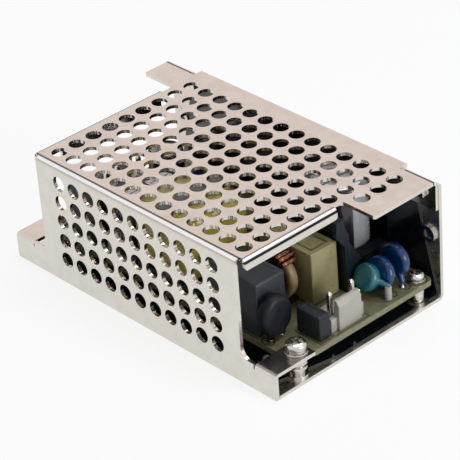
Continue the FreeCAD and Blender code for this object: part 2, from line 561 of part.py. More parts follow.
# Fasteners and what they screw into
def makeFasteners():
    t = "sheetThickness"
    bore = "pillarBoreRadius"
    top = "(ledgeTop - sheetThickness)"
    collar = "(%s - pillarCollar)" % top
    ring = "(%s - pillarGap - pillarRing)" % collar
    pillar = [(bore, t), ("standoffFlangeRadius", t), ("standoffFlangeRadius", t + " + pillarFlange"),
              ("pillarNeckRadius", t + " + pillarFlange"), ("pillarNeckRadius", ring), ("pillarRadius", ring),
              ("pillarRadius", collar + " - pillarGap"), ("pillarNeckRadius", collar + " - pillarGap"),
              ("pillarNeckRadius", collar), ("pillarRadius", collar + " + 0.4"), ("pillarRadius", top),
              (bore, top)]
    near = [(screwX, nearScrewY), (backScrewX, nearScrewY)]
    far = [(screwX, farScrewY), (backScrewX, farScrewY)]
    node(grouped("LedgePillars", turnedGroup("Pillar", pillar, near)), "ledge_pillars")
    narrow = "standoffBoreRadius"
    standoff = [(narrow, t), ("standoffRadius - standoffRoundness", t),
                ("standoffRadius - standoffRoundness * 0.3", t + " + standoffRoundness * 0.4"),
                ("standoffRadius", t + " + standoffRoundness"), ("standoffRadius", "boardUnderside"),
                (narrow, "boardUnderside")]
    node(grouped("BoardStandoffs", turnedGroup("Standoff", standoff, far)), "board_standoffs")
    panScrews("LedgeScrew", near, "ledgeTop", "screwHeadRadius", "screwThreadRadius - 0.25",
              "screwLockThickness", "ledge_screws")
    panScrews("BoardScrew", far, boardTop, "screwSmallHeadRadius", "screwSmallThreadRadius - 0.25", "0.02",
              "board_screws")

    # Threaded inserts pressed into the base from inside
    barrel = "clinchBarrelRadius"
    nut = [("clinchBoreRadius", "0"), (barrel, "0"), (barrel, t), ("clinchFlangeRadius", t),
           ("clinchFlangeRadius", t + " + clinchFlange"), ("clinchBoreRadius", t + " + clinchFlange")]
    corners = [("%d * insertSpacingX / 2 + insertOffsetX" % i, "%d * insertSpacingY / 2" % j)
               for i in (-1, 1) for j in (-1, 1)]
    node(grouped("BottomInserts", turnedGroup("BottomInsert", nut, corners)), "bottom_inserts")
    inwards = FreeCAD.Rotation(FreeCAD.Vector(1, 0, 0), 90)
    copies = []
    for i in (-1, 1):
        body = doc.addObject("PartDesign::Body", "SideInsert%d" % (i + 2))
        turned(body, "Turned", nut)
        placed(body, ("%d * (caseLength / 2 - clinchInset)" % i, caseFar, "clinchHeight"), inwards)
        copies.append(body)
    node(grouped("SideInserts", copies), "side_inserts")
    wide, slim = "tabScrewHeadRadius - 0.05", "tabScrewThreadRadius - 0.05"
    seat, tip = "sheetThickness - 0.05", "2 * sheetThickness + 1.2"
    flush = [("0", "0"), (wide, "0"), (wide, seat), (slim, seat), (slim, tip), ("0", tip)]
    copies = []
    for i in (-1, 1):
        body = doc.addObject("PartDesign::Body", "TabScrew%d" % (i + 2))
        turned(body, "Turned", flush)
        at = "%d * (caseLength / 2 - tongueInset - tabScrewInset)" % i
        placed(body, (at, caseFar, "tabScrewHeight"), inwards)
        copies.append(body)
    node(grouped("TabScrews", copies), "tab_screws")


def panScrews(name, places, seat, headRadius, threadRadius, lockThickness, label):
    """Pan head screws with a washer under the head and a cross recess."""
    copies = []
    for i, (x, y) in enumerate(places):
        body = doc.addObject("PartDesign::Body", "%s%d" % (name, i + 1))
        washer = headRadius + " + 0.25"
        lock = headRadius + " - 0.15"
        under = "screwWasherThickness + %s" % lockThickness
        top = under + " + screwHeadHeight"
        section = [("0", "-4"), (threadRadius, "-4"), (threadRadius, "0"), (washer, "0"),
                   (washer, "screwWasherThickness"), (lock, "screwWasherThickness"), (lock, under),
                   (headRadius, under), (headRadius, under + " + screwHeadHeight * 0.5"),
                   (headRadius + " * 0.85", under + " + screwHeadHeight * 0.82"),
                   (headRadius + " * 0.5", top), ("0", top)]
        turned(body, "Turned", section)
        half, arm = "screwCrossWidth / 2", headRadius + " * 0.5"
        cross = outline(body, "Cross", "XY_Plane", [
            ("-" + arm, "-" + half), ("-" + half, "-" + half), ("-" + half, "-" + arm), (half, "-" + arm),
            (half, "-" + half), (arm, "-" + half), (arm, half), (half, half), (half, arm), ("-" + half, arm),
            ("-" + half, half), ("-" + arm, half)], top)
        pocket(body, "Recess", cross, "screwCrossDepth")
        placed(body, (x, y, seat))
        copies.append(body)
    node(grouped(name + "s", copies), label)


def onBoard(prefix, fromEnd="Front"):
    """The near front (or near back) corner of a part on the board."""
    end = "(%s - %sFromFront)" % (boardFront, prefix)
    if fromEnd == "Back":
        end = "(%s + %sFromBack)" % (boardBack, prefix)
    return end, "(%s + %sFromNear)" % (boardNear, prefix)


def moulded(label, prefix, fromEnd="Front", lift="0", corner="all"):
    """A moulded box on the board with rounded upper edges and corners."""
    x, y = onBoard(prefix, fromEnd)
    base = block(prefix + "Block", prefix + "Length", prefix + "Width", prefix + "Height - " + lift,
                 ("%s - %sLength" % (x, prefix) if fromEnd == "Front" else x, y, boardTop + " + " + lift))
    doc.recompute()
    high = topOf(base)
    rounded = roundedEdges(prefix + "Rounded", base, prefix + "Edge",
                           lambda e: isVertical(e) or e.BoundBox.ZMin > high - 1e-4)
    return node(rounded, label)


# Fuse, box capacitors
def makeBoxes():
    moulded("line_fuse", "fuse")
    moulded("grey_filter_capacitor", "greyBox")
    moulded("yellow_filter_capacitor", "yellowBox")
    moulded("feedback_capacitor", "feedbackCap")


# Mains header: white base with a latch plate, two square posts
def makeHeader():
    x, y = onBoard("header")
    body = doc.addObject("PartDesign::Body", "Header")
    back = "(%s - headerBaseDepth)" % x
    base = rectangle(body, "HeaderBaseOutline", "XY_Plane", (back, x), (y, y + " + headerBaseWidth"),
                     boardTop)
    pad(body, "HeaderBase", base, "headerBaseHeight")
    front = "(%s + headerFromFront - 1.4)" % x
    high = "(%s + headerPlateHeight)" % boardTop
    plateStart = "(%s + (headerBaseWidth - headerPlateWidth) / 2 + headerPlateShift)" % y
    plate = outline(body, "HeaderPlateOutline", "XZ_Plane", [
        ("%s - headerPlateThickness" % front, boardTop), (front, boardTop),
        (front, high + " - headerRampDrop"), (front + " + headerRampReach", high + " - headerRampDrop"),
        ("%s - headerPlateThickness / 2" % front, high), ("%s - headerPlateThickness" % front, high)],
        "-" + plateStart)
    pad(body, "HeaderPlate", plate, "headerPlateWidth", reverse=True)
    pins, bores = [], []
    for i, step in enumerate(("-1", "1")):
        pinY = "(%s + headerBaseWidth / 2 + %s * headerPinSpan / 2)" % (y, step)
        pinX = "(%s - headerPinBack)" % x
        pins.append(headerPost("InputPost%d" % i, pinX, pinY))
        bores.append(pinBore("InputBore%d" % i, pinX, pinY))
        leadHole(pinX, pinY, "headerPinSize * 0.71")
    node(less("HeaderDrilled", body, joined("InputBores", bores)), "input_header")
    node(grouped("InputPosts", pins), "input_header_pins")


def headerPost(name, x, y):
    """One square post of a header, through the board."""
    half = "headerPinSize / 2"
    return block(name, "headerPinSize", "headerPinSize", "headerPinHeight + boardThickness + headerPinTail",
                 (x + " - " + half, y + " - " + half, "boardUnderside - headerPinTail"))


def pinBore(name, x, y):
    """The square way through a header's base for one post."""
    side = "(headerPinSize + 2 * headerPinGap)"
    return block(name, side, side, "headerBaseHeight + 2",
                 (x + " - %s / 2" % side, y + " - %s / 2" % side, boardTop + " - 1"))


# Discs: thermistor and three safety capacitors, lacquered down onto their wire legs
def disc(name, radius, thickness, centre, legs, rotation, lead):
    """A disc on its rim above the board; a leg is its place and the height where its lacquer ends."""
    edge = "(%s * 0.3)" % thickness
    body = doc.addObject("PartDesign::Body", name + "Disc")
    half = "(%s / 2)" % thickness
    flat = radius + " - " + edge
    turned(body, "Pill", [("0", "-" + half), (flat, "-" + half), (radius, "-%s + %s" % (half, edge)),
                          (radius, "%s - %s" % (half, edge)), (flat, half), ("0", half)])
    placed(body, centre, rotation)
    pieces = [body]
    for i, (x, y, high) in enumerate(legs):
        top = boardTop + " + " + high
        pieces.append(rod("%sLeg%d" % (name, i), lead, "%s - boardUnderside + 1.2" % top,
                          (x, y, "boardUnderside - 1.2")))
        start, end = [FreeCAD.Vector(*[number(v) for v in place]) for place in (centre, (x, y, top))]
        tail = bound(doc.addObject("Part::Cone", "%sTail%d" % (name, i)), Radius1=thickness + " * 0.45",
                     Radius2=lead + " * 1.4")
        tail.Height = (end - start).Length + number(lead)
        pieces.append(placed(tail, centre, FreeCAD.Rotation(FreeCAD.Vector(0, 0, 1), end - start)))
        leadHole(x, y, lead)
    return joined(name, pieces)


def makeDiscs():
    x, y = onBoard("thermistor")
    centre = (x, y, boardTop + " + thermistorRadius + thermistorRise")
    legs = [(x, y + " - thermistorRadius * 0.5", "thermistorRise * 0.5"),
            (x, y + " + thermistorRadius * 0.5", "thermistorRise * 0.5")]
    node(disc("Thermistor", "thermistorRadius", "thermistorThickness", centre, legs, alongX, "thermistorLead"),
         "inrush_thermistor")
    for prefix, label in (("tealCap", "teal_safety_capacitor"), ("nearBlueCap", "blue_safety_capacitor_a"),
                          ("farBlueCap", "blue_safety_capacitor_b")):
        x, y = onBoard(prefix)
        tilt = number(prefix + "Tilt")
        high = "%sRadius * %.6f" % (prefix, math.cos(math.radians(tilt)))
        centre = (x, y, "%s + %s + %sRise" % (boardTop, high, prefix))
        face = FreeCAD.Rotation(FreeCAD.Vector(1, 0, 0), 90 - tilt)
        legs = [(x + " + %sLegX%s" % (prefix, end), y + " + %sLegY%s" % (prefix, end),
                 "%sLegHigh%s" % (prefix, end)) for end in ("A", "B")]
        node(disc(prefix, prefix + "Radius", "discThickness", centre, legs, face, "discLead"), label)


# Common mode choke: ring core standing on a base plate, wound with thick wire
def makeChoke():
    x, y = onBoard("choke")
    centreZ = "(%s + chokeBaseHeight + chokeOuterRadius + chokeWire * 2)" % boardTop
    ring = rod("ChokeRing", "chokeOuterRadius", "chokeWidth", (x, y + " - chokeWidth / 2", centreZ), alongY)
    bore = rod("ChokeBore", "chokeInnerRadius", "chokeWidth + 2",
               (x, y + " - chokeWidth / 2 - 1", centreZ), alongY)
    node(less("ChokeCore", ring, bore), "choke_core")
    base = block("ChokeBase", "chokeBaseLength", "chokeBaseWidth", "chokeBaseHeight",
                 (x + " - chokeBaseLength / 2", y + " - chokeBaseWidth / 2", boardTop))
    node(base, "choke_base")
    halves = []
    for side in (0, 1):
        section = doc.addObject("PartDesign::Body", "ChokeHalf%d" % side)
        inner, outer = "(chokeInnerRadius - chokeWire * 2)", "(chokeOuterRadius + chokeWire * 2)"
        half, gap = "(chokeWidth / 2 + chokeWire * 2)", "0.08"
        area = outline(section, "ChokeSection", "XZ_Plane", [
            (inner, "-" + half), (outer, "-" + half), (outer, half), (inner, half)])
        turn = section.newObject("PartDesign::Revolution", "ChokeTurn")
        turn.Profile = area
        turn.ReferenceAxis = (area, ["V_Axis"])
        turn.Angle = number("chokeArc")
        turn.Midplane = True
        doc.recompute()
        tooth = outline(section, "ChokeRingSection", "XZ_Plane", [
            ("chokeInnerRadius - " + gap, "-chokeWidth / 2 - " + gap),
            ("chokeOuterRadius + " + gap, "-chokeWidth / 2 - " + gap),
            ("chokeOuterRadius + " + gap, "chokeWidth / 2 + " + gap),
            ("chokeInnerRadius - " + gap, "chokeWidth / 2 + " + gap)])
        groove = section.newObject("PartDesign::Groove", "ChokeGroove")
        groove.Profile = tooth
        groove.ReferenceAxis = (tooth, ["V_Axis"])
        groove.Angle = 360
        doc.recompute()
        placed(section, (x, y, centreZ), FreeCAD.Rotation(FreeCAD.Vector(0, 1, 0), 90 + 180 * side) * alongY)
        halves.append(section)
    node(grouped("ChokeWinding", halves), "choke_winding")


# Rectifier: flat bridge with a cut corner, standing on four legs
def makeBridge():
    x, y = onBoard("bridge")
    body = doc.addObject("PartDesign::Body", "Bridge")
    low = "(%s + bridgeRise)" % boardTop
    high = "(%s + bridgeHeight)" % low
    far = "(%s + bridgeWidth)" % y
    area = outline(body, "BridgeOutline", "YZ_Plane", [
        (y, low), (far, low), (far, high + " - bridgeChamfer"), (far + " - bridgeChamfer", high), (y, high)],
        x + " - bridgeThickness")
    pad(body, "BridgeBody", area, "bridgeThickness")
    for i in range(4):
        start = "(%s + bridgeWidth * %.3f - bridgeLead / 2)" % (y, (i + 0.5) / 4)
        leg = rectangle(body, "BridgeLegOutline%d" % i, "YZ_Plane", (start, start + " + bridgeLead"),
                        ("boardUnderside - 1.2", low), x + " - bridgeThickness / 2 - bridgeLead / 2")
        pad(body, "BridgeLeg%d" % i, leg, "bridgeLead")
        leadHole(x + " - bridgeThickness / 2", start + " + bridgeLead / 2", "bridgeLead * 0.71")
    node(body, "bridge_rectifier")


def canSection(prefix, radius, height):
    """Half section of an aluminium can: crimp groove low down, rolled rim round a sunk top."""
    groove = "%sGrooveHeight" % prefix
    depth = "%sGrooveDepth" % prefix
    rim = "%sRimWidth" % prefix
    rise = "%sRimRise" % prefix
    inner = "%s - %s" % (radius, rim)
    return [("0", "0"), (radius + " - 0.4", "0"), (radius, "0.4"), (radius, groove + " - 0.6"),
            (radius + " - " + depth, groove), (radius, groove + " + 0.6"), (radius, height + " - 0.6"),
            (radius + " - 0.6", height), (inner, height), (inner, height + " - " + rise),
            ("0", height + " - " + rise)]


def makeCans():
    x, y = onBoard("bulk")
    body = doc.addObject("PartDesign::Body", "Bulk")
    turned(body, "Can", canSection("bulk", "bulkRadius", "bulkHeight"))
    placed(body, (x, y, boardTop))
    node(body, "bulk_capacitor")
    for letter in "ABC":
        can = doc.addObject("PartDesign::Body", "OutputCan" + letter)
        turned(can, "Can", canSection("outputCap", "outputCapRadius", "outputCapHeight"))
        placed(can, ("%s + outputCapFromBack%s" % (boardBack, letter),
                     "%s + outputCapFromNear%s" % (boardNear, letter), boardTop))
        node(can, "output_capacitor_" + letter.lower())
    x, y = onBoard("smallCap")
    node(rod("SmallCan", "smallCapRadius", "smallCapHeight", (x, y, boardTop)), "supply_capacitor")


# Heatsinks: upright plates on the board, each with its power device
def makeSinks():
    x = "(%s - primarySinkFrontX)" % boardFront
    y = "(%s + primarySinkFromNear)" % boardNear
    high = "(%s + primarySinkHeight)" % boardTop
    back = "(%s - primarySinkLength)" % x
    body = doc.addObject("PartDesign::Body", "PrimarySink")
    area = outline(body, "PrimaryPlateOutline", "XZ_Plane", [
        (back, boardTop), (x, boardTop), (x, high + " - primarySinkSlope"),
        (x + " - primarySinkSlope * 0.8", high), (back, high)], "-" + y)
    pad(body, "PrimaryPlate", area, "primarySinkThickness", reverse=True)
    foot, reach = y + " + flangeFootReach", y + " + flangeReach"
    neck, finger = y + " + flangeNeckShift", y + " - flangeFingerReach"
    footHigh, neckHigh = boardTop + " + flangeFootHeight", boardTop + " + flangeNeckHeight"
    area = outline(body, "PrimaryFlangeOutline", "YZ_Plane", [
        (y, boardTop), (foot, boardTop), (foot, footHigh), (reach, footHigh), (neck, neckHigh), (neck, high),
        (finger, high), (finger, high + " - flangeFingerDrop"), (y, boardTop + " + flangeThroatHeight")],
        "(%s - primarySinkThickness)" % x)
    pad(body, "PrimaryFlange", area, "primarySinkThickness")
    node(body, "primary_heatsink")
    device("Switch", "switching_transistor", back + " + 3", "(%s + primarySinkThickness)" % y)
    x = "(%s + outputSinkFromBack)" % boardBack
    y = "(%s + outputSinkFromNear)" % boardNear
    high = "(%s + outputSinkHeight)" % boardTop
    body = doc.addObject("PartDesign::Body", "OutputSink")
    area = rectangle(body, "OutputPlateOutline", "XZ_Plane", (x, x + " + outputSinkLength"),
                     (boardTop, high), "-" + y)
    pad(body, "OutputPlate", area, "outputSinkThickness", reverse=True)
    node(body, "output_heatsink")
    device("Diode", "output_rectifier", x + " + 1.3", "(%s + outputSinkThickness)" % y)


def device(name, label, x, y):
    """A flat power device with its tab on the plate: plastic body, metal tab with a hole, three legs."""
    low = "(%s + deviceRise)" % boardTop
    body = block(name + "Body", "deviceWidth", "deviceThickness", "deviceBodyHeight", (x, y, low))
    tab = block(name + "Tab", "deviceWidth", "deviceTabThickness", "deviceTabHeight",
                (x, y, low + " + deviceBodyHeight"))
    middle = x + " + deviceWidth / 2"
    hole = rod(name + "Hole", "deviceHoleRadius", "deviceTabThickness + 2",
               (middle, y + " - 1", low + " + deviceBodyHeight + deviceTabHeight / 2"), alongY)
    legs = []
    for i in (-1, 0, 1):
        across = middle + " + %d * deviceLeadSpan" % i
        along = y + " + deviceThickness * 0.55"
        legs.append(block("%sLeg%d" % (name, i), "deviceLead", "deviceLead * 0.6",
                          "deviceRise + boardThickness + 1.2",
                          (across + " - deviceLead / 2", along, "boardUnderside - 1.2")))
        leadHole(across, along + " + deviceLead * 0.3", "deviceLead * 0.59")
    drilled = less(name + "TabDrilled", joined(name + "Solid", [body, tab]), hole)
    node(joined(name, [drilled] + legs), label)


# Transformer: ferrite pair on a bobbin, wound and taped
def makeTransformer():
    x = "transformerCentreX"
    y = "(%s + transformerFromNear)" % boardNear
    low = "(%s + transformerBaseHeight)" % boardTop
    core = doc.addObject("PartDesign::Body", "Core")
    half, depth = "transformerCoreWidth / 2", "transformerCoreDepth / 2"
    coreHigh = "(%s + transformerCoreHeight - transformerBaseHeight)" % low
    area = rectangle(core, "CoreOutline", "YZ_Plane", ("%s - %s" % (y, depth), "%s + %s" % (y, depth)),
                     (low, coreHigh), "transformerCentreX - " + half)
    pad(core, "CoreBlock", area, "transformerCoreWidth")
    leg = "transformerLeg"
    windows = [("(%s - %s + %s)" % (y, depth, leg), "(%s - %s)" % (y, leg)),
               ("(%s + %s)" % (y, leg), "(%s + %s - %s)" % (y, depth, leg))]
    for i, span in enumerate(windows):
        area = rectangle(core, "CoreWindow%d" % i, "YZ_Plane", span,
                         (low + " + " + leg, coreHigh + " - " + leg), "transformerCentreX - %s - 1" % half)
        pocket(core, "CoreWindowCut%d" % i, area, "transformerCoreWidth + 2", reverse=True)
    node(core, "transformer_core")

    # Winding: a rounded block that fills both windows and bulges out each side
    inside = block("WindingBlock", "transformerWidth", "transformerDepth - 2 * transformerLeg + 4.6",
                   "transformerCoreHeight - transformerBaseHeight - 2 * transformerLeg - 0.2",
                   (x + " - transformerWidth / 2", "%s - transformerDepth / 2 + transformerLeg - 2.3" % y,
                    low + " + transformerLeg + 0.1"))
    rounded = roundedEdges("WindingRounded", inside, "transformerLeg * 0.6", isVertical)
    node(less("Winding", rounded, core), "transformer_winding")
    base = block("BobbinBase", "transformerWidth", "transformerCoreDepth", "transformerBaseHeight - 0.05",
                 (x + " - transformerWidth / 2", "%s - transformerCoreDepth / 2" % y, boardTop))
    node(base, "transformer_bobbin")


# Small parts between the transformer and the far edge
def makeSmallParts():
    x, y = onBoard("coupler")
    node(block("Coupler", "couplerWidth", "couplerLength", "couplerHeight", (x, y, boardTop)), "optocoupler")
    x, y = onBoard("chip")
    node(block("Chip", "chipLength", "chipWidth", "chipHeight", (x, y, boardTop)), "control_chip")
    x, y = onBoard("snubber")
    axial("Snubber", "snubber", x, y, "snubber_resistor")
    x, y = onBoard("trimmer", "Back")
    case = block("TrimmerCase", "trimmerLength", "trimmerWidth", "trimmerHeight", (x, y, boardTop))
    dial = rod("TrimmerDial", "trimmerScrewRadius", "0.6",
               (x + " + trimmerLength / 2", y + " + trimmerWidth / 2", boardTop + " + trimmerHeight - 0.4"))
    node(less("Trimmer", case, dial), "voltage_trimmer")
    x, y = onBoard("lamp", "Back")
    stem = rod("LampStem", "lampRadius", "lampHeight - lampRadius", (x, y, boardTop))
    dome = placed(bound(doc.addObject("Part::Sphere", "LampDome"), Radius="lampRadius"),
                  (x, y, boardTop + " + lampHeight - lampRadius"))
    node(joined("Lamp", [stem, dome]), "indicator_lamp")
    x, y = onBoard("resistor", "Back")
    row = [axial("Resistor%d" % i, "resistor", x, "%s + %d * resistorPitch" % (y, i))
           for i in range(int(values["resistorCount"]))]
    node(grouped("Resistors", row), "output_resistors")
    x, y = onBoard("inductor", "Back")
    body = doc.addObject("PartDesign::Body", "Inductor")
    wide, waist = "inductorRadius", "inductorWaist"
    low, high = "inductorCoreFlange", "inductorHeight - inductorCoreFlange"
    turned(body, "Drum", [("0", "0"), (wide, "0"), (wide, low), (waist, low), (waist, high), (wide, high),
                          (wide, "inductorHeight"), ("0", "inductorHeight")])
    placed(body, (x, y, boardTop))
    node(body, "output_inductor")


def axial(name, prefix, x, y, label=None):
    """An axial resistor lying on the board, its two wires bent down into it."""
    centre = "(%s + %sRadius + %sRise)" % (boardTop, prefix, prefix)
    body = rod(name + "Body", prefix + "Radius", prefix + "Length", (x, y, centre), alongX)
    wire = rod(name + "Wire", prefix + "Lead", prefix + "Length + 3", (x + " - 1.5", y, centre), alongX)
    drops = []
    for i, shift in enumerate((" - 1.5", " + %sLength + 1.5" % prefix)):
        drops.append(rod("%sDrop%d" % (name, i), prefix + "Lead", centre + " - boardUnderside + 1",
                         (x + shift, y, "boardUnderside - 1")))
        leadHole(x + shift, y, prefix + "Lead")
    result = joined(name, [body, wire] + drops)
    return node(result, label) if label else result


# Output header: four posts in a white base at the back end
def makeOutputHeader():
    x, y = onBoard("outputHeader", "Back")
    width = "(outputHeaderPitch * outputHeaderPins)"
    body = doc.addObject("PartDesign::Body", "OutputHeader")
    area = rectangle(body, "OutputBaseOutline", "XY_Plane", (x, x + " + outputHeaderBaseDepth"),
                     (y, y + " + " + width), boardTop)
    pad(body, "OutputBase", area, "headerBaseHeight")
    high = "(%s + headerPlateHeight)" % boardTop
    plate = outline(body, "OutputPlateOutline", "XZ_Plane", [
        (x, boardTop), (x + " + headerPlateThickness", boardTop), (x + " + headerPlateThickness", high),
        (x + " + headerPlateThickness / 2", high), (x + " - headerRampReach", high + " - headerRampDrop"),
        (x, high + " - headerRampDrop")], "-%s - 1.5" % y)
    pad(body, "OutputPlate", plate, width + " - 3", reverse=True)
    postX = x + " + headerPlateThickness + 2.6 + headerPinSize / 2"
    posts, bores = [], []
    for i in range(int(values["outputHeaderPins"])):
        postY = "%s + outputHeaderPitch * %.1f" % (y, i + 0.5)
        posts.append(headerPost("OutputPost%d" % i, postX, postY))
        bores.append(pinBore("OutputBore%d" % i, postX, postY))
        leadHole(postX, postY, "headerPinSize * 0.71")
    node(less("OutputDrilled", body, joined("OutputBores", bores)), "output_header")
    node(grouped("OutputPosts", posts), "output_header_pins")


makeCover()
makeBase()
makeFilm()
board = makeBoard()
makeFasteners()
makeBoxes()
makeHeader()
makeDiscs()
makeChoke()
makeBridge()
makeCans()
makeSinks()
makeTransformer()
makeSmallParts()
makeOutputHeader()
node(less("DrilledBoard", board, joined("LeadHoles", drills)), "circuit_board")
doc.recompute()

for thing in doc.Objects:
    assert not {"Invalid", "Error"} & set(thing.State), thing.Label + " failed"
for thing in nodes:
    assert not thing.Shape.isNull() and thing.Shape.isValid(), thing.Label + " is not valid"
os.makedirs("parts", exist_ok=True)
for thing in nodes:
    thing.Shape.exportStep("parts/%s.step" % thing.Label)
print(len(nodes), "nodes written")
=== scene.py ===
import bpy
import math
from mathutils import Matrix, Vector


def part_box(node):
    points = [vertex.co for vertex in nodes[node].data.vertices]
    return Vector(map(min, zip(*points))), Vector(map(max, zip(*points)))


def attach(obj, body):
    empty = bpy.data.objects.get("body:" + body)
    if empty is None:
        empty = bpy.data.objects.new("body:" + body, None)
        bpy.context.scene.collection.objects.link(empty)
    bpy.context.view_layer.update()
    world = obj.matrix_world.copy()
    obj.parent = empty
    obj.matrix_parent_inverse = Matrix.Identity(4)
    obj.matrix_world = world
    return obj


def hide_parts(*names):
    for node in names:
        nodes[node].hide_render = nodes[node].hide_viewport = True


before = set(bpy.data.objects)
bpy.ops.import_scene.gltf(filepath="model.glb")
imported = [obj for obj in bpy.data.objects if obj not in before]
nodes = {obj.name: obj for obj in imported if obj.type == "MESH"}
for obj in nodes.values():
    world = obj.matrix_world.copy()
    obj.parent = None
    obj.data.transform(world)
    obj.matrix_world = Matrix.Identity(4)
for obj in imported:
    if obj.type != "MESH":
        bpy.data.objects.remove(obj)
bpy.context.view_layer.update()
mm = 0.001
print("frame loaded,", len(nodes), "nodes")


# helpers used by every piece: lengths in millimetres, angles in degrees

def metres(values):
    return [v * mm for v in values]


def radians(values):
    return [math.radians(v) for v in values]


def middle(low, high):
    return [(a + b) / 2 for a, b in zip(low, high)]


def reach(low, high):
    return [b - a for a, b in zip(low, high)]


def boxOf(node, grow=((0, 0, 0), (0, 0, 0))):  # lowest, highest and middle corner of a node's box, grown
    low, high = [[v / mm + more for v, more in zip(corner, moved)] for corner,
                 moved in zip(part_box(node), grow)]
    return low, high, middle(low, high)


def deselectAll():
    if bpy.context.mode != "OBJECT":
        bpy.ops.object.mode_set(mode="OBJECT")
    bpy.ops.object.select_all(action="DESELECT")


def activate(piece):
    deselectAll()
    piece.select_set(True)
    bpy.context.view_layer.objects.active = piece


def settle(piece, name):  # the place and turn go into the mesh, as on a CAD node
    activate(piece)
    bpy.ops.object.transform_apply(location=True, rotation=True, scale=True)
    piece.name = name
    piece.data.name = name
    return piece


def addTube(name, radius, height, at, sides=32, turn=(0, 0, 0)):  # at is the middle
    deselectAll()
    bpy.ops.mesh.primitive_cylinder_add(vertices=sides, radius=radius * mm, depth=height * mm,
                                        location=metres(at), rotation=radians(turn))
    return settle(bpy.context.object, name)


def addBlock(name, size, at):  # at is the middle
    deselectAll()
    bpy.ops.mesh.primitive_cube_add(size=1, location=metres(at))
    block = bpy.context.object
    block.scale = metres(size)
    return settle(block, name)


def blockBetween(name, low, high):  # a block from its lowest to its highest corner
    return addBlock(name, reach(low, high), middle(low, high))


def addBall(name, radius, at, segments):
    deselectAll()
    bpy.ops.mesh.primitive_uv_sphere_add(segments=segments, ring_count=segments // 2, radius=radius * mm,
                                         location=metres(at))
    return settle(bpy.context.object, name)


def bevelEdges(piece, width, segments=3, angle=40):
    bevel = piece.modifiers.new("Bevel", "BEVEL")
    bevel.width, bevel.segments, bevel.limit_method = width * mm, segments, "ANGLE"
    bevel.angle_limit = math.radians(angle)
    activate(piece)
    bpy.ops.object.modifier_apply(modifier=bevel.name)
    return piece


def smooth(piece, angle=35):
    activate(piece)
    bpy.ops.object.shade_smooth_by_angle(angle=math.radians(angle))
    return piece


def pick(piece, kind, test):  # edit mode, with only the faces or edges selected that pass the test
    activate(piece)
    bpy.ops.object.mode_set(mode="EDIT")
    bpy.ops.mesh.select_mode(type=kind)
    bpy.ops.mesh.select_all(action="DESELECT")
    bpy.ops.object.mode_set(mode="OBJECT")
    for part in piece.data.polygons if kind == "FACE" else piece.data.edges:
        part.select = test(part)
    bpy.ops.object.mode_set(mode="EDIT")


def leaveEdit():
    bpy.ops.object.mode_set(mode="OBJECT")


def insetFaces(piece, test, thickness, depth):
    pick(piece, "FACE", test)
    bpy.ops.mesh.inset(thickness=thickness * mm, depth=depth * mm)
    leaveEdit()


def extrudeFaces(piece, test, move, grow=1.0):  # moved, then scaled about their own middle
    pick(piece, "FACE", test)
    bpy.ops.mesh.extrude_region_move(TRANSFORM_OT_translate={"value": metres(move)})
    if grow != 1.0:
        bpy.ops.transform.resize(value=(grow, grow, grow))
    leaveEdit()


def moveFaces(piece, test, move):
    pick(piece, "FACE", test)
    bpy.ops.transform.translate(value=metres(move))
    leaveEdit()


def growFaces(piece, test, grow, about):
    pick(piece, "FACE", test)
    bpy.ops.transform.resize(value=grow, center_override=metres(about))
    leaveEdit()


def facesUp(face):
    return face.normal.z > 0.9


def facesDown(face):
    return face.normal.z < -0.9


def cutAway(piece, cutter):  # a clean boolean cut, the cutter is used up
    cut = piece.modifiers.new("Cut", "BOOLEAN")
    cut.operation, cut.object, cut.solver = "DIFFERENCE", cutter, "EXACT"
    activate(piece)
    bpy.ops.object.modifier_apply(modifier=cut.name)
    activate(cutter)
    bpy.ops.object.delete()
    return piece


def crossRecess(piece, at, arm, half, deep, axis):  # two crossed slots sunk along an axis
    for narrow in [k for k in (2, 1, 0) if k != axis]:
        size = [2 * arm, 2 * arm, 2 * arm]
        size[axis], size[narrow] = 2 * deep, 2 * half
        cutAway(piece, addBlock("slot", size, at))
    return piece


def join(pieces, name):
    deselectAll()
    for piece in pieces:
        piece.select_set(True)
    bpy.context.view_layer.objects.active = pieces[0]
    if len(pieces) > 1:
        bpy.ops.object.join()
    joined = bpy.context.view_layer.objects.active
    joined.name = name
    joined.data.name = name
    return joined


def copyOf(piece, move):  # a moved copy with a mesh of its own
    twin = piece.copy()
    twin.data = piece.data.copy()
    bpy.context.collection.objects.link(twin)
    twin.data.transform(Matrix.Translation(Vector(metres(move))))
    return twin


def rowOf(piece, step, count):  # the piece and its copies, each one step further
    return [piece] + [copyOf(piece, [v * i for v in step]) for i in range(1, count)]


def turnedPiece(name, at, profile, sides=40, turn=(0, 0, 0)):  # profile: (radius, height) pairs, bottom up
    deselectAll()
    radius, height = profile[0]
    bpy.ops.mesh.primitive_circle_add(vertices=sides, radius=radius * mm, fill_type="NGON",
                                      location=(0, 0, height * mm))
    piece = bpy.context.object
    bpy.ops.object.transform_apply(location=True)
    bpy.ops.object.mode_set(mode="EDIT")
    bpy.ops.mesh.select_all(action="SELECT")
    for nextRadius, nextHeight in profile[1:]:
        rise = (0, 0, (nextHeight - height) * mm)
        bpy.ops.mesh.extrude_region_move(TRANSFORM_OT_translate={"value": rise})
        grow = nextRadius / radius
        bpy.ops.transform.resize(value=(grow, grow, 1), center_override=(0, 0, nextHeight * mm))
        radius, height = nextRadius, nextHeight
    bpy.ops.mesh.select_all(action="SELECT")
    bpy.ops.mesh.normals_make_consistent(inside=False)
    leaveEdit()
    piece.rotation_euler = radians(turn)
    piece.location = metres(at)
    return settle(piece, name)


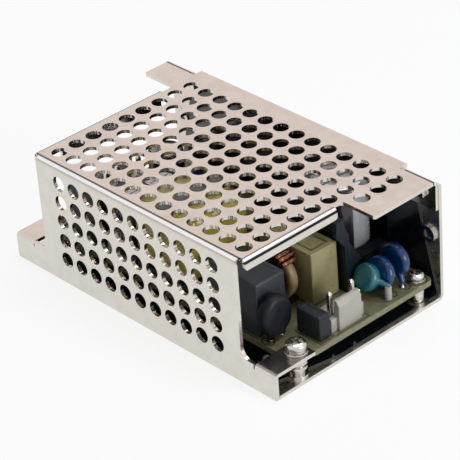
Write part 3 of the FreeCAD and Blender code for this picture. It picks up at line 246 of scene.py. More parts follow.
def leadWire(name, points, radius):  # a round wire through five points
    deselectAll()
    bpy.ops.curve.primitive_nurbs_path_add()
    strand = bpy.context.object
    spline = strand.data.splines[0]
    for point, place in zip(spline.points, points):
        point.co = metres(place) + [1]
    spline.order_u = 3
    spline.use_endpoint_u = True
    spline.resolution_u = 6
    strand.data.bevel_depth = radius * mm
    strand.data.bevel_resolution = 2
    strand.data.use_fill_caps = True
    bpy.ops.object.convert(target="MESH")
    return smooth(settle(bpy.context.object, name), 60)


def finishPiece(piece, finish, node=None):  # node: the CAD node that the piece stands for
    piece.data.materials.clear()
    piece.data.materials.append(finishes[finish])
    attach(piece, "root")
    if node:
        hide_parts(node)


# materials

grainSpan = {"tone": (0.35, 0.65), "rough": (0.3, 0.7)}  # shares of the noise


def feed(tree, node, inputs):  # an input takes a fixed value or another node's output
    for label, value in inputs.items():
        if isinstance(value, bpy.types.NodeSocket):
            tree.links.new(value, node.inputs[label])
        else:
            node.inputs[label].default_value = value
    return node


def addNode(tree, kind, inputs):
    return feed(tree, tree.nodes.new("ShaderNode" + kind), inputs)


def mathNode(tree, operation, *values):
    node = addNode(tree, "Math", {})
    node.operation = operation
    return feed(tree, node, dict(enumerate(values))).outputs[0]


def remap(tree, source, fromLow, fromHigh, toLow=0, toHigh=1):
    spread = addNode(tree, "MapRange", {"Value": source, "From Min": fromLow, "From Max": fromHigh,
                                        "To Min": toLow, "To Max": toHigh})
    return spread.outputs["Result"]


def colourRamp(tree, source, stops):  # stops: the place, and the colour with its alpha
    ramp = addNode(tree, "ValToRGB", {"Fac": source})
    elements = ramp.color_ramp.elements
    while len(elements) < len(stops):
        elements.new(0.5)
    for element, (at, tone) in zip(elements, stops):
        element.position, element.color = at, tone
    return ramp


def mixColour(tree, share, first, second):
    return addNode(tree, "MixRGB", {"Fac": share, "Color1": first, "Color2": second}).outputs["Color"]


def startMaterial(name, colour, rough, metal=0.0, coat=0.0, shine=0.5):
    material = bpy.data.materials.new(name)
    material.use_nodes = True
    tree = material.node_tree
    shader = feed(tree, tree.nodes["Principled BSDF"], {
        "Base Color": (*colour, 1), "Roughness": rough, "Metallic": metal, "Coat Weight": coat,
        "Specular IOR Level": shine})
    return material, tree, shader


def grain(tree, scale, stretch=(1, 1, 1)):  # noise on Object coordinates, scale per metre
    place = addNode(tree, "TexCoord", {})
    mapping = addNode(tree, "Mapping", {"Vector": place.outputs["Object"], "Scale": stretch})
    noise = addNode(tree, "TexNoise", {"Vector": mapping.outputs["Vector"], "Scale": scale, "Detail": 3.0})
    return noise.outputs["Fac"]


def twoTones(tree, noise, dark, light):
    low, high = grainSpan["tone"]
    return colourRamp(tree, noise, ((low, (*dark, 1)), (high, (*light, 1)))).outputs["Color"]


def varyRough(tree, shader, noise, rough):
    feed(tree, shader, {"Roughness": remap(tree, noise, *grainSpan["rough"], *rough)})


def grainyMaterial(name, dark, light, rough, scale, metal=0.0, coat=0.0, bump=0.1, depth=0.02,
                   stretch=(1, 1, 1), shine=0.5):
    material, tree, shader = startMaterial(name, light, rough[0], metal, coat, shine)
    noise = grain(tree, scale, stretch)
    varyRough(tree, shader, noise, rough)
    relief = addNode(tree, "Bump", {"Strength": bump, "Distance": depth * mm, "Height": noise})
    feed(tree, shader, {"Base Color": twoTones(tree, noise, dark, light),
                        "Normal": relief.outputs["Normal"]})
    return material


# each row: dark and light tone, roughness from and to, grain per metre, and what differs from the usual
recipes = {
    "caseSheet": ((0.64, 0.610, 0.560), (0.69, 0.660, 0.605), (0.25, 0.32), 260,
                  {"metal": 1.0, "bump": 0.02, "depth": 0.01}),
    "blackFilm": ((0.003, 0.005, 0.009), (0.007, 0.010, 0.016), (0.08, 0.18), 90,
                  {"coat": 0.4, "depth": 0.15}),
    "boardLaminate": ((0.165, 0.157, 0.082), (0.215, 0.205, 0.115), (0.30, 0.42), 700,
                      {"coat": 0.2, "bump": 0.05, "depth": 0.01}),
    "nickelPlate": ((0.55, 0.52, 0.49), (0.68, 0.65, 0.62), (0.12, 0.24), 700,
                    {"metal": 1.0, "bump": 0.04, "depth": 0.01}),
    "blackMoulding": ((0.010, 0.013, 0.016), (0.016, 0.020, 0.025), (0.40, 0.52), 2600,
                      {"bump": 0.12, "depth": 0.012, "shine": 0.28}),
    "darkMoulding": ((0.002, 0.003, 0.004), (0.004, 0.005, 0.007), (0.50, 0.62), 2600,
                     {"bump": 0.12, "depth": 0.012, "shine": 0.12}),
    "greyMoulding": ((0.020, 0.024, 0.033), (0.029, 0.034, 0.045), (0.36, 0.48), 2200, {"depth": 0.012}),
    "yellowMoulding": ((0.31, 0.285, 0.140), (0.35, 0.320, 0.162), (0.26, 0.34), 350,
                       {"coat": 0.1, "bump": 0.03, "depth": 0.006}),
    "whiteNylon": ((0.40, 0.38, 0.35), (0.44, 0.42, 0.385), (0.36, 0.42), 500,
                   {"bump": 0.03, "depth": 0.004}),
    "insertSteel": ((0.10, 0.10, 0.105), (0.16, 0.158, 0.16), (0.3, 0.4), 900, {"metal": 1.0, "bump": 0.05}),
    "tinPlate": ((0.52, 0.49, 0.44), (0.66, 0.63, 0.58), (0.16, 0.30), 900,
                 {"metal": 1.0, "bump": 0.05, "depth": 0.01}),
    "solder": ((0.42, 0.42, 0.41), (0.58, 0.58, 0.57), (0.20, 0.34), 1800, {"metal": 1.0, "bump": 0.15}),
    "tealLacquer": ((0.014, 0.135, 0.175), (0.020, 0.180, 0.225), (0.18, 0.28), 420,
                    {"coat": 0.35, "depth": 0.04}),
    "blueLacquer": ((0.001, 0.036, 0.125), (0.002, 0.052, 0.175), (0.22, 0.32), 420,
                    {"coat": 0.25, "depth": 0.04, "shine": 0.35}),
    "darkLacquer": ((0.002, 0.004, 0.007), (0.004, 0.007, 0.011), (0.44, 0.56), 500,
                    {"coat": 0.04, "bump": 0.25, "depth": 0.12, "shine": 0.25}),
    "canSleeve": ((0.010, 0.007, 0.011), (0.018, 0.012, 0.018), (0.18, 0.30), 500,
                  {"coat": 0.3, "bump": 0.04}),
    "canTop": ((0.60, 0.60, 0.60), (0.70, 0.70, 0.70), (0.22, 0.32), 900, {"metal": 1.0, "bump": 0.04}),
    "scoreLine": ((0.10, 0.10, 0.10), (0.16, 0.16, 0.16), (0.4, 0.5), 1200, {"metal": 0.8}),
    "ringCoat": ((0.22, 0.155, 0.082), (0.32, 0.235, 0.130), (0.36, 0.5), 1000, {"bump": 0.08}),
    "sinkPlate": ((0.010, 0.016, 0.023), (0.018, 0.027, 0.036), (0.36, 0.48), 900,
                  {"metal": 0.4, "bump": 0.05, "stretch": (1, 1, 0.1), "shine": 0.3}),
    "ferrite": ((0.026, 0.026, 0.029), (0.050, 0.050, 0.054), (0.45, 0.62), 1800,
                {"metal": 0.1, "bump": 0.25}),
    "corePaint": ((0.085, 0.088, 0.095), (0.125, 0.128, 0.136), (0.40, 0.55), 1500, {"bump": 0.15}),
    "yellowTape": ((0.42, 0.345, 0.055), (0.50, 0.415, 0.080), (0.16, 0.26), 200,
                   {"coat": 0.3, "bump": 0.08, "depth": 0.08}),
    "copperWire": ((0.155, 0.044, 0.020), (0.27, 0.088, 0.040), (0.16, 0.28), 900,
                   {"metal": 0.85, "coat": 0.5, "bump": 0.04}),
    "resistorLacquer": ((0.27, 0.24, 0.15), (0.34, 0.30, 0.19), (0.28, 0.4), 1000, {"bump": 0.05}),
    "bandBrown": ((0.06, 0.020, 0.010), (0.09, 0.032, 0.016), (0.28, 0.4), 1000, {"bump": 0.05}),
    "printInk": ((0.012, 0.010, 0.008), (0.022, 0.019, 0.014), (0.45, 0.6), 1500, {"bump": 0.05}),
    "trimmerBlue": ((0.01, 0.07, 0.24), (0.015, 0.10, 0.31), (0.32, 0.44), 1200, {"bump": 0.05}),
    "lampGreen": ((0.04, 0.30, 0.08), (0.06, 0.38, 0.11), (0.06, 0.14), 500, {"bump": 0.04}),
}
finishes = {name: grainyMaterial(name, *plain, **special) for name, (*plain, special) in recipes.items()}

# a dark sleeve with one pale stripe down its mains side, as on the photographed can
stripe = {"dark": (0.018, 0.012, 0.018), "pale": (0.36, 0.385, 0.40), "from": -16, "to": 62, "soft": 0.7,
          "rough": (0.18, 0.32), "plainRough": 0.24, "coat": 0.35, "scale": 500}


def stripedSleeveMaterial():
    centre = boxOf("bulk_capacitor")[2]
    material, tree, shader = startMaterial("stripedSleeve", stripe["dark"], stripe["plainRough"],
                                           coat=stripe["coat"])
    place = addNode(tree, "TexCoord", {})
    mapping = addNode(tree, "Mapping", {"Vector": place.outputs["Object"],
                                        "Location": (-centre[0] * mm, -centre[1] * mm, 0)})
    split = addNode(tree, "SeparateXYZ", {"Vector": mapping.outputs["Vector"]})
    angle = mathNode(tree, "ARCTAN2", split.outputs["Y"], split.outputs["X"])
    soft = math.radians(stripe["soft"])
    first, last = math.radians(stripe["from"]), math.radians(stripe["to"])
    inside = mathNode(tree, "MULTIPLY", remap(tree, angle, first - soft, first + soft),
                      remap(tree, angle, last + soft, last - soft))
    ramp = colourRamp(tree, inside, ((0, (*stripe["dark"], 1)), (1, (*stripe["pale"], 1))))
    feed(tree, shader, {"Base Color": ramp.outputs["Color"]})
    varyRough(tree, shader, grain(tree, stripe["scale"]), stripe["rough"])
    return material


# painted reflection along each bend, dark lines and a bright highlight band where the curve reflects the
# room: angle round the bend in degrees, shade, strength
longBendReflection = {"stops": ((-20, 0.03, 0), (-13, 0.03, 0.92), (2, 0.03, 0.92), (14, 0.9, 0.8), (42, 0.9, 0.8),
                      (50, 0.32, 0.55), (62, 0.32, 0.45), (72, 0.6, 0)),
            "axis": "Y", "way": -1, "tangent": 29.5}
frontBendReflection = {"stops": ((2, 0.06, 0), (10, 0.06, 0.9), (24, 0.06, 0.9), (31, 0.9, 0.85), (49, 0.9, 0.85),
                       (57, 0.02, 1.0), (80, 0.02, 1.0), (88, 0.6, 0)),
             "axis": "X", "way": 1, "tangent": 40.0, "until": 4.5}
backBendReflection = {**frontBendReflection, "way": -1, "tangent": 39.5, "until": 16.5}
tabBendReflection = {**longBendReflection, "way": 1, "tangent": 28.5, "outside": 41.0}
# the cover sheet's top and side tones are painted reflection: pinker and darker on top, paler and greyer on
# the sides, as each face catches the light
sheet = {"top": ((0.62, 0.520, 0.465), (0.665, 0.560, 0.502)),
         "side": ((0.67, 0.645, 0.590), (0.72, 0.695, 0.638)),
         "rough": (0.16, 0.24), "plainRough": 0.28, "scale": 260, "bendHeight": 35.5, "turns": (-30, 90),
         "ledge": (0.33, 0.30, 0.29), "ledgeFrom": 42.6, "ledgeTop": 7.85, "ledgeTilt": 0.7}


def bendReflectionLines(tree, split, bend):  # the painted reflection lines and highlight band of one bend, and how far they cover the sheet
    first, last = sheet["turns"]
    beyond = mathNode(tree, "MULTIPLY_ADD", split[bend["axis"]], bend["way"], -bend["tangent"] * mm)
    above = mathNode(tree, "SUBTRACT", split["Z"], sheet["bendHeight"] * mm)
    place = remap(tree, mathNode(tree, "ARCTAN2", beyond, above), math.radians(first), math.radians(last))
    ramp = colourRamp(tree, place, [((turn - first) / (last - first), (shade, shade, shade, strength))
                                    for turn, shade, strength in bend["stops"]])
    strength = ramp.outputs["Alpha"]
    if "until" in bend:
        within = mathNode(tree, "LESS_THAN", split["Y"], bend["until"] * mm)
        strength = mathNode(tree, "MULTIPLY", strength, within)
    if "outside" in bend:
        endOnly = mathNode(tree, "GREATER_THAN", mathNode(tree, "ABSOLUTE", split["X"]),
                           bend["outside"] * mm)
        strength = mathNode(tree, "MULTIPLY", strength, endOnly)
    return ramp.outputs["Color"], strength


def coverSheetMaterial():
    material, tree, shader = startMaterial("coverSheet", sheet["top"][1], sheet["plainRough"], 1.0)
    noise = grain(tree, sheet["scale"])
    varyRough(tree, shader, noise, sheet["rough"])
    place = addNode(tree, "TexCoord", {})
    split = addNode(tree, "SeparateXYZ", {"Vector": place.outputs["Object"]}).outputs
    # faces blend from the top's painted reflection tone to the sides' by how far they tilt
    facing = addNode(tree, "NewGeometry", {})
    tilt = addNode(tree, "SeparateXYZ", {"Vector": facing.outputs["Normal"]}).outputs["Z"]
    sideways = mathNode(tree, "SUBTRACT", 1.0, mathNode(tree, "ABSOLUTE", tilt))
    colour = mixColour(tree, sideways, *[twoTones(tree, noise, *sheet[face]) for face in ("top", "side")])
    # painted reflection: the front ledge's upward faces are darkened, as they reflect the dark inside of the
    # case
    ledge = mathNode(tree, "MULTIPLY", mathNode(tree, "GREATER_THAN", split["X"], sheet["ledgeFrom"] * mm),
                     mathNode(tree, "LESS_THAN", split["Z"], sheet["ledgeTop"] * mm))
    ledge = mathNode(tree, "MULTIPLY", ledge, mathNode(tree, "GREATER_THAN", tilt, sheet["ledgeTilt"]))
    colour = mixColour(tree, ledge, colour, (*sheet["ledge"], 1))
    # painted reflection: dark lines and a bright highlight band along each bend, laid over the sheet's
    # colour
    for bend in (longBendReflection, frontBendReflection, backBendReflection, tabBendReflection):
        shade, strength = bendReflectionLines(tree, split, bend)
        colour = mixColour(tree, strength, colour, shade)
    feed(tree, shader, {"Base Color": colour})
    return material


finishes["stripedSleeve"] = stripedSleeveMaterial()
finishes["coverSheet"] = coverSheetMaterial()
print("materials made")

# the nodes that are shown as packed
cadFinishes = {
    "case_base": "caseSheet", "insulation_film": "blackFilm", "circuit_board": "boardLaminate",
    "ledge_pillars": "nickelPlate", "board_standoffs": "nickelPlate", "side_inserts": "nickelPlate",
    "bottom_inserts": "insertSteel", "choke_base": "blackMoulding", "primary_heatsink": "sinkPlate",
    "output_heatsink": "sinkPlate", "transformer_core": "corePaint",
}
for name, finish in cadFinishes.items():
    for place in nodes[name].material_slots:
        place.material = finishes[finish]
print("CAD nodes finished")

board = {"top": 7.6, "bottom": 6.0, "roundLeadEnd": 4.9, "flatLeadEnd": 4.8}


# cover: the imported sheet, with the vent holes next to the mains lip drilled through it

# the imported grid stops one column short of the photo's: six holes beside the lip, three more on the tongue
ventHoles = {"pitch": 6.0, "radius": 2.25, "fromBack": 16.4, "fromNear": 6.0, "column": 12, "rows": 6,
             "tongueRows": 3, "sheet": 1.0, "sides": 48, "merge": 0.0001}
backLip = {"inner": -39.9, "outer": -41.1, "low": 33.0, "top": 35.0, "longer": 3.6, "spare": 0.4,
           "cornerEnd": -20.6, "cornerLow": 33.8, "cornerDeep": 5}  # short beside the near wall


def underBackLip(face):
    x, _, z = [v / mm for v in face.center]
    return (backLip["outer"] < x < backLip["inner"] and backLip["low"] < z < backLip["top"]
            and face.normal.z < -0.05)


def makeCover():
    low, high, _ = boxOf("case_cover")
    cover = bpy.data.objects.new("cover", nodes["case_cover"].data.copy())
    bpy.context.collection.objects.link(cover)
    activate(cover)
    bpy.ops.mesh.customdata_custom_splitnormals_clear()
    bpy.ops.object.mode_set(mode="EDIT")
    bpy.ops.mesh.select_all(action="SELECT")
    bpy.ops.mesh.remove_doubles(threshold=ventHoles["merge"] * mm)
    leaveEdit()
    pitch, rows, thick = ventHoles["pitch"], ventHoles["rows"], ventHoles["sheet"]
    first = (low[0] + ventHoles["fromBack"] + ventHoles["column"] * pitch, low[1] + ventHoles["fromNear"],
             high[2] - thick / 2)
    drill = addTube("drill", ventHoles["radius"], thick + 1, first, ventHoles["sides"])
    onTongue = copyOf(drill, (pitch, rows * pitch, 0))
    drills = rowOf(drill, (0, pitch, 0), rows) + rowOf(onTongue, (0, pitch, 0), ventHoles["tongueRows"])
    cutAway(cover, join(drills, "drills"))
    moveFaces(cover, underBackLip, (0, 0, -backLip["longer"]))
    notchTop = backLip["cornerLow"]
    cutAway(cover, blockBetween(
        "corner", (backLip["outer"] - backLip["spare"], low[1] + thick, notchTop - backLip["cornerDeep"]),
        (backLip["inner"] + backLip["spare"], backLip["cornerEnd"], notchTop)))
    finishPiece(smooth(cover, 30), "coverSheet", "case_cover")


makeCover()
print("cover made")


# choke: coated ring core with copper turns on its upper and lower arcs

choke = {"shift": (2.1, -0.1, -0.2), "outerRadius": 6.8, "innerRadius": 4.1, "width": 3.0, "round": 1.15,
         "wireRadius": 0.6, "slack": 0.04, "turns": 5, "arc": 82, "secondTurns": 4, "secondArc": 60,
         "secondInner": 2.2, "secondOver": 0.3, "sides": (90, 248)}
chokeLeads = {"from": (25.5, -6.0), "apart": (3.6, 2.2), "places": ((-1, -1), (1, -1), (-1, 1), (1, 1)),
              "heights": (7.4, 8.2, 9.0, 10.0, 11.2), "lean": (0, 0, 0, 0.2, 0.35)}


def chokeTurn(centre, inner, outer, half, angle):
    deselectAll()
    bpy.ops.curve.primitive_nurbs_circle_add(radius=mm)
    turn = bpy.context.object
    between = (inner + outer) / 2
    corners = [(inner, -half), (between, -half), (outer, -half), (outer, 0), (outer, half), (between, half),
               (inner, half), (inner, 0)]
    spline = turn.data.splines[0]
    for point, (radius, along) in zip(spline.points, corners):
        x, z = centre[0] + radius * math.cos(angle), centre[2] + radius * math.sin(angle)
        point.co = metres((x, centre[1] + along, z)) + [1]
    spline.order_u = 3
    spline.resolution_u = 3
    turn.data.bevel_depth = choke["wireRadius"] * mm
    turn.data.bevel_resolution = 2
    bpy.ops.object.convert(target="MESH")
    return bpy.context.object


def makeChoke():
    centre = [a + b for a, b in zip(boxOf("choke_core")[2], choke["shift"])]
    ring = addTube("chokeRing", choke["outerRadius"], choke["width"], centre, 72, (90, 0, 0))
    cutAway(ring, addTube("bore", choke["innerRadius"], choke["width"] * 2, centre, 56, (90, 0, 0)))
    finishPiece(smooth(bevelEdges(ring, choke["round"], 4, 60), 40), "ringCoat", "choke_core")
    wire = choke["wireRadius"] + choke["slack"]
    outer, half = choke["outerRadius"] + wire, choke["width"] / 2 + wire
    turns = []
    for side in choke["sides"]:
        for count, arc, inner, over in (
                (choke["turns"], choke["arc"], choke["innerRadius"] - wire, 0),
                (choke["secondTurns"], choke["secondArc"], choke["secondInner"], choke["secondOver"])):
            for i in range(count):
                angle = math.radians(side - arc / 2 + arc * i / (count - 1))
                turns.append(chokeTurn(centre, inner, outer + over, half + over, angle))
    finishPiece(smooth(join(turns, "chokeWires"), 60), "copperWire", "choke_winding")


def makeChokeLeads():
    for i, signs in enumerate(chokeLeads["places"]):
        dx, dy = [sign * apart for sign, apart in zip(signs, chokeLeads["apart"])]
        x, y = chokeLeads["from"][0] + dx, chokeLeads["from"][1] + dy
        points = [(x - dx * lean, y, z) for z, lean in zip(chokeLeads["heights"], chokeLeads["lean"])]
        finishPiece(leadWire("chokeLead%d" % i, points, choke["wireRadius"]), "copperWire")


makeChoke()
makeChokeLeads()
print("choke wound")


# cans: sleeve with a rolled rim, bright top with its vent score

bulkCan = {"radius": 8.2, "rim": 1.25, "sunk": 0.35, "groove": 3.2, "grooveDepth": 0.45, "scoreWidth": 0.32}
smallCan = {"radius": 5.0, "rim": 0.75, "sunk": 0.28, "groove": 2.6, "grooveDepth": 0.32, "scoreWidth": 0.24}
canShape = {"lidLap": 0.02, "lidThick": 0.3, "lineShare": 1.5, "lineThick": 0.06, "lineLift": 0.01}
supplyCan = {**smallCan, "radius": 2.5, "rim": 0.45, "sunk": 0.2, "groove": 1.6, "grooveDepth": 0.2}


def makeCan(node, can, name, finish):
    low, high, centre = boxOf(node)
    height, radius, rim = high[2] - low[2], can["radius"], can["rim"]
    groove, depth, sunk = can["groove"], can["grooveDepth"], can["sunk"]
    profile = [(radius - 0.5, 0), (radius - 0.12, 0.12), (radius, 0.45), (radius, groove - 0.8),
               (radius - depth * 0.8, groove - 0.3), (radius - depth, groove),
               (radius - depth * 0.8, groove + 0.3), (radius, groove + 0.8), (radius, height - 0.75),
               (radius - 0.1, height - 0.35), (radius - 0.35, height - 0.08), (radius - 0.65, height),
               (radius - rim + 0.2, height - 0.08), (radius - rim, height - sunk - 0.05)]
    shell = turnedPiece(name + "Sleeve", (*centre[:2], low[2]), profile, 72)
    finishPiece(smooth(shell, 50), finish, node)
    lid, thick, line = radius - rim + canShape["lidLap"], canShape["lidThick"], canShape["lineThick"]
    top = turnedPiece(name + "Top", (*centre[:2], high[2] - sunk - thick),
                      [(lid, 0), (lid, thick - 0.08), (lid - 0.15, thick), (lid * 0.5, thick)], 64)
    long, wide = lid * canShape["lineShare"], can["scoreWidth"]
    at = (*centre[:2], high[2] - sunk + canShape["lineLift"])
    scores = [addBlock("score", size, at) for size in ((long, wide, line), (wide, long, line))]
    finishPiece(smooth(top, 30), "canTop")
    finishPiece(join(scores, name + "Score"), "scoreLine")


makeCan("bulk_capacitor", bulkCan, "bulkCan", "stripedSleeve")
for letter in "abc":
    makeCan("output_capacitor_" + letter, smallCan, "outputCan" + letter.upper(), "canSleeve")
makeCan("supply_capacitor", supplyCan, "supplyCan", "canSleeve")
print("cans made")


# disc capacitors and thermistor: bodies dipped in lacquer that runs down the legs

discs = {
    "tealDisc": {"node": "teal_safety_capacitor", "slot": "teal_lacquer", "finish": "tealLacquer",
                 "radius": 3.8, "thick": 3.4, "centre": (42.8, 11.4, 12.6), "turn": (60, 0, 0),
                 "legs": ((48.9, 13.0, 11.9), (40.2, 10.8, 8.8)), "wire": 0.35, "tail": 0.55},
    "blueDiscNear": {"node": "blue_safety_capacitor_a", "slot": "blue_lacquer", "finish": "blueLacquer",
                     "radius": 4.6, "thick": 2.9, "centre": (44.2, 15.1, 12.76), "turn": (76, 0, 0),
                     "legs": ((47.6, 15.1, 8.5), (40.8, 15.1, 8.5)), "wire": 0.35, "tail": 0.6},
    "blueDiscFar": {"node": "blue_safety_capacitor_b", "slot": "blue_lacquer", "finish": "blueLacquer",
                    "radius": 4.6, "thick": 2.9, "centre": (44.3, 20.8, 14.4), "turn": (90, 0, 0),
                    "legs": ((47.7, 19.6, 9.3), (40.9, 20.8, 9.0)), "wire": 0.35, "tail": 0.75},
    "thermistorDisc": {"node": "inrush_thermistor", "slot": "dark_lacquer", "finish": "darkLacquer",
                       "radius": 5.1, "thick": 4.0, "centre": (39.4, -18.7, 14.6), "turn": (0, 90, 0),
                       "tall": 1.16, "legs": ((39.4, -20.4, 8.75), (39.4, -16.7, 8.75)), "wire": 0.4,
                       "tail": 1.15},
}
# shares of a disc's radius and thickness, from one side to the other
discProfile = ((0.55, -0.5), (0.82, -0.46), (0.95, -0.34), (1.0, -0.12), (1.0, 0.12), (0.95, 0.34),
               (0.82, 0.46), (0.55, 0.5))
lacquer = {"voxel": 0.2, "rounds": 6, "even": 0.5, "tailShare": 0.46}
leadSleeve = {"at": (48.9, 13.0), "outer": 0.95, "inner": 0.5, "low": 7.65, "high": 11.7}


def addTail(disc, end):  # the lacquer's run from the disc's middle down to a leg
    centre = disc["centre"]
    way = Vector(end) - Vector(centre)
    deselectAll()
    bpy.ops.mesh.primitive_cone_add(vertices=24, radius1=disc["thick"] * lacquer["tailShare"] * mm,
                                    radius2=disc["tail"] * mm, depth=way.length * mm,
                                    location=metres(middle(centre, end)),
                                    rotation=way.to_track_quat("Z", "Y").to_euler())
    return [settle(bpy.context.object, "tail"), addBall("drop", disc["tail"], end, 16)]


def makeDisc(name, disc):
    profile = [(disc["radius"] * wide, disc["thick"] * deep) for wide, deep in discProfile]
    body = turnedPiece(name, disc["centre"], profile, 48, disc["turn"])
    if "tall" in disc:
        growFaces(body, lambda face: True, (1, 1, disc["tall"]), disc["centre"])
    shapes = [body]
    for end in disc["legs"]:
        shapes += addTail(disc, end)
    body = join(shapes, name)
    remesh = body.modifiers.new("Dip", "REMESH")
    remesh.mode, remesh.voxel_size = "VOXEL", lacquer["voxel"] * mm
    even = body.modifiers.new("Even", "SMOOTH")
    even.factor, even.iterations = lacquer["even"], lacquer["rounds"]
    activate(body)
    bpy.ops.object.modifier_apply(modifier="Dip")
    bpy.ops.object.modifier_apply(modifier="Even")
    bpy.ops.object.shade_smooth()
    finishPiece(body, disc["finish"], disc["node"])
    low = board["roundLeadEnd"]
    for i, (x, y, high) in enumerate(disc["legs"]):
        leg = addTube("%sLeg%d" % (name, i), disc["wire"] * 0.95, high - low, (x, y, (high + low) / 2), 16)
        finishPiece(smooth(bevelEdges(leg, 0.1, 2)), "tinPlate")


def makeLeadSleeve():
    outer, inner, low, high = [leadSleeve[key] for key in ("outer", "inner", "low", "high")]
    tube = turnedPiece("leadSleeve", (*leadSleeve["at"], 0), [
        (outer - 0.08, low), (outer, low + 0.1), (outer * 0.97, high - 0.15), (outer * 0.9, high),
        (inner, high), (inner, high - 0.8)], 28)
    finishPiece(smooth(tube), "whiteNylon")


for name, disc in discs.items():
    makeDisc(name, disc)
makeLeadSleeve()
print("discs dipped")


# header posts with chamfered tips

post = {"size": 1.14, "tip": 0.7, "tipShare": 0.45}


def postPitch(low, high, count):  # from one post of a row to the next
    return (high[1] - low[1] - post["size"]) / (count - 1)


def makePosts(node, name, count):
    low, high, _ = boxOf(node)
    size, tip = post["size"], post["tip"]
    body = blockBetween("post", (low[0], low[1], low[2] + tip),
                        (low[0] + size, low[1] + size, high[2] - tip))
    extrudeFaces(body, facesUp, (0, 0, tip), post["tipShare"])
    extrudeFaces(body, facesDown, (0, 0, -tip), post["tipShare"])
    posts = rowOf(bevelEdges(body, 0.06, 2, 20), (0, postPitch(low, high, count), 0), count)
    finishPiece(smooth(join(posts, name), 30), "tinPlate", node)


makePosts("input_header_pins", "inputPosts", 2)
makePosts("output_header_pins", "outputPosts", 4)
print("posts made")


# screws: domed heads with a cross recess, washers and a split lock washer

screws = {
    "ledgeScrews": {"node": "ledge_screws", "seat": 7.8, "radius": 2.85, "lock": 0.9, "thread": 1.25},
    "boardScrews": {"node": "board_screws", "seat": 7.6, "radius": 2.25, "lock": 0.0, "thread": 1.0},
}
screwShape = {"pitch": 0.5, "threadDepth": 0.16, "shank": 4, "washer": 0.5, "washerOver": 0.25, "slit": 0.28,
              "recessHeight": 2.1, "armShare": 0.6, "recessHalf": 0.42, "recessDeep": 1.5}


def makeScrew(x, y, screw):
    seat, radius, lock, thread = screw["seat"], screw["radius"], screw["lock"], screw["thread"]
    washer, pitch, wide = screwShape["washer"], screwShape["pitch"], radius + screwShape["washerOver"]
    under = seat + washer + lock
    head = turnedPiece("head", (x, y, under), [
        (radius - 0.3, 0), (radius - 0.06, 0.12), (radius, 0.3), (radius, 0.95), (radius * 0.97, 1.25),
        (radius * 0.9, 1.55), (radius * 0.8, 1.75), (radius * 0.66, 1.9), (radius * 0.45, 1.98)], 56)
    crossRecess(head, (x, y, under + screwShape["recessHeight"]), radius * screwShape["armShare"],
                screwShape["recessHalf"], screwShape["recessDeep"], 2)
    parts = [head, turnedPiece("washer", (x, y, seat), [
        (wide - 0.1, 0), (wide, 0.08), (wide, washer - 0.08), (wide - 0.1, washer), (radius * 0.5, washer)],
        56)]
    if lock:
        ring = turnedPiece("lock", (x, y, seat + washer), [
            (radius - 0.25, 0.02), (radius - 0.15, 0.1), (radius - 0.15, lock - 0.1),
            (radius - 0.25, lock - 0.02)], 56)
        parts.append(cutAway(ring, addBlock("slit", (screwShape["slit"], radius, lock * 1.2),
                                            (x, y - radius, seat + washer + lock / 2))))
    tip = seat - screwShape["shank"]
    rings, height = [], seat
    while height > tip + pitch:  # thread rings down the shank
        rings += [(thread - screwShape["threadDepth"], height - 0.02), (thread, height - pitch / 2)]
        height -= pitch
    parts.append(turnedPiece("shank", (x, y, 0), [(thread * 0.7, tip)] + rings[::-1], 24))
    return smooth(join(parts, "screw"), 35)


for name, screw in screws.items():
    low, high, centre = boxOf(screw["node"])
    edge = screw["radius"] + screwShape["washerOver"]
    pair = rowOf(makeScrew(high[0] - edge, centre[1], screw), (low[0] - high[0] + 2 * edge, 0, 0), 2)
    finishPiece(join(pair, name), "nickelPlate", screw["node"])
print("screws made")


# box capacitors and fuse: moulded boxes with a sunk top panel and feet

boxes = {
    "greyBox": {"node": "grey_filter_capacitor", "slot": "grey_moulding", "finish": "greyMoulding",
                "edge": 0.6, "rim": 1.0, "sunk": 0.12, "foot": 0.35, "grow": ((0, 0, 0), (0, 0, 2.5))},
    "yellowBox": {"node": "yellow_filter_capacitor", "slot": "yellow_moulding", "finish": "yellowMoulding",
                  "edge": 0.3, "rim": 1.1, "sunk": 0.7, "foot": 0.35, "step": 0.9,
                  "grow": ((0, -0.9, 0), (1.5, 0.7, 1.0))},
    "fuseBlock": {"node": "line_fuse", "slot": "black_moulding", "finish": "blackMoulding", "edge": 0.3,
                  "rim": 0.7, "sunk": 0.15, "foot": 0.3, "grow": ((0, 0, 0), (0, 0, 0))},
    "feedbackBox": {"node": "feedback_capacitor", "slot": "black_moulding", "finish": "blackMoulding",
                    "edge": 0.4, "rim": 0.6, "sunk": 0.1, "foot": 0.3, "grow": ((0, 0, 0), (0, 0, 0))},
}
boxShape = {"taper": (0.992, 0.985, 1), "footIn": 1.4, "footWide": 1.1, "footShare": 0.8, "footLap": 0.1,
            "level": 0.99, "within": 0.11, "panelShare": 0.3, "wall": 0.12, "stepWall": 0.1,
            "stepShare": 0.6}


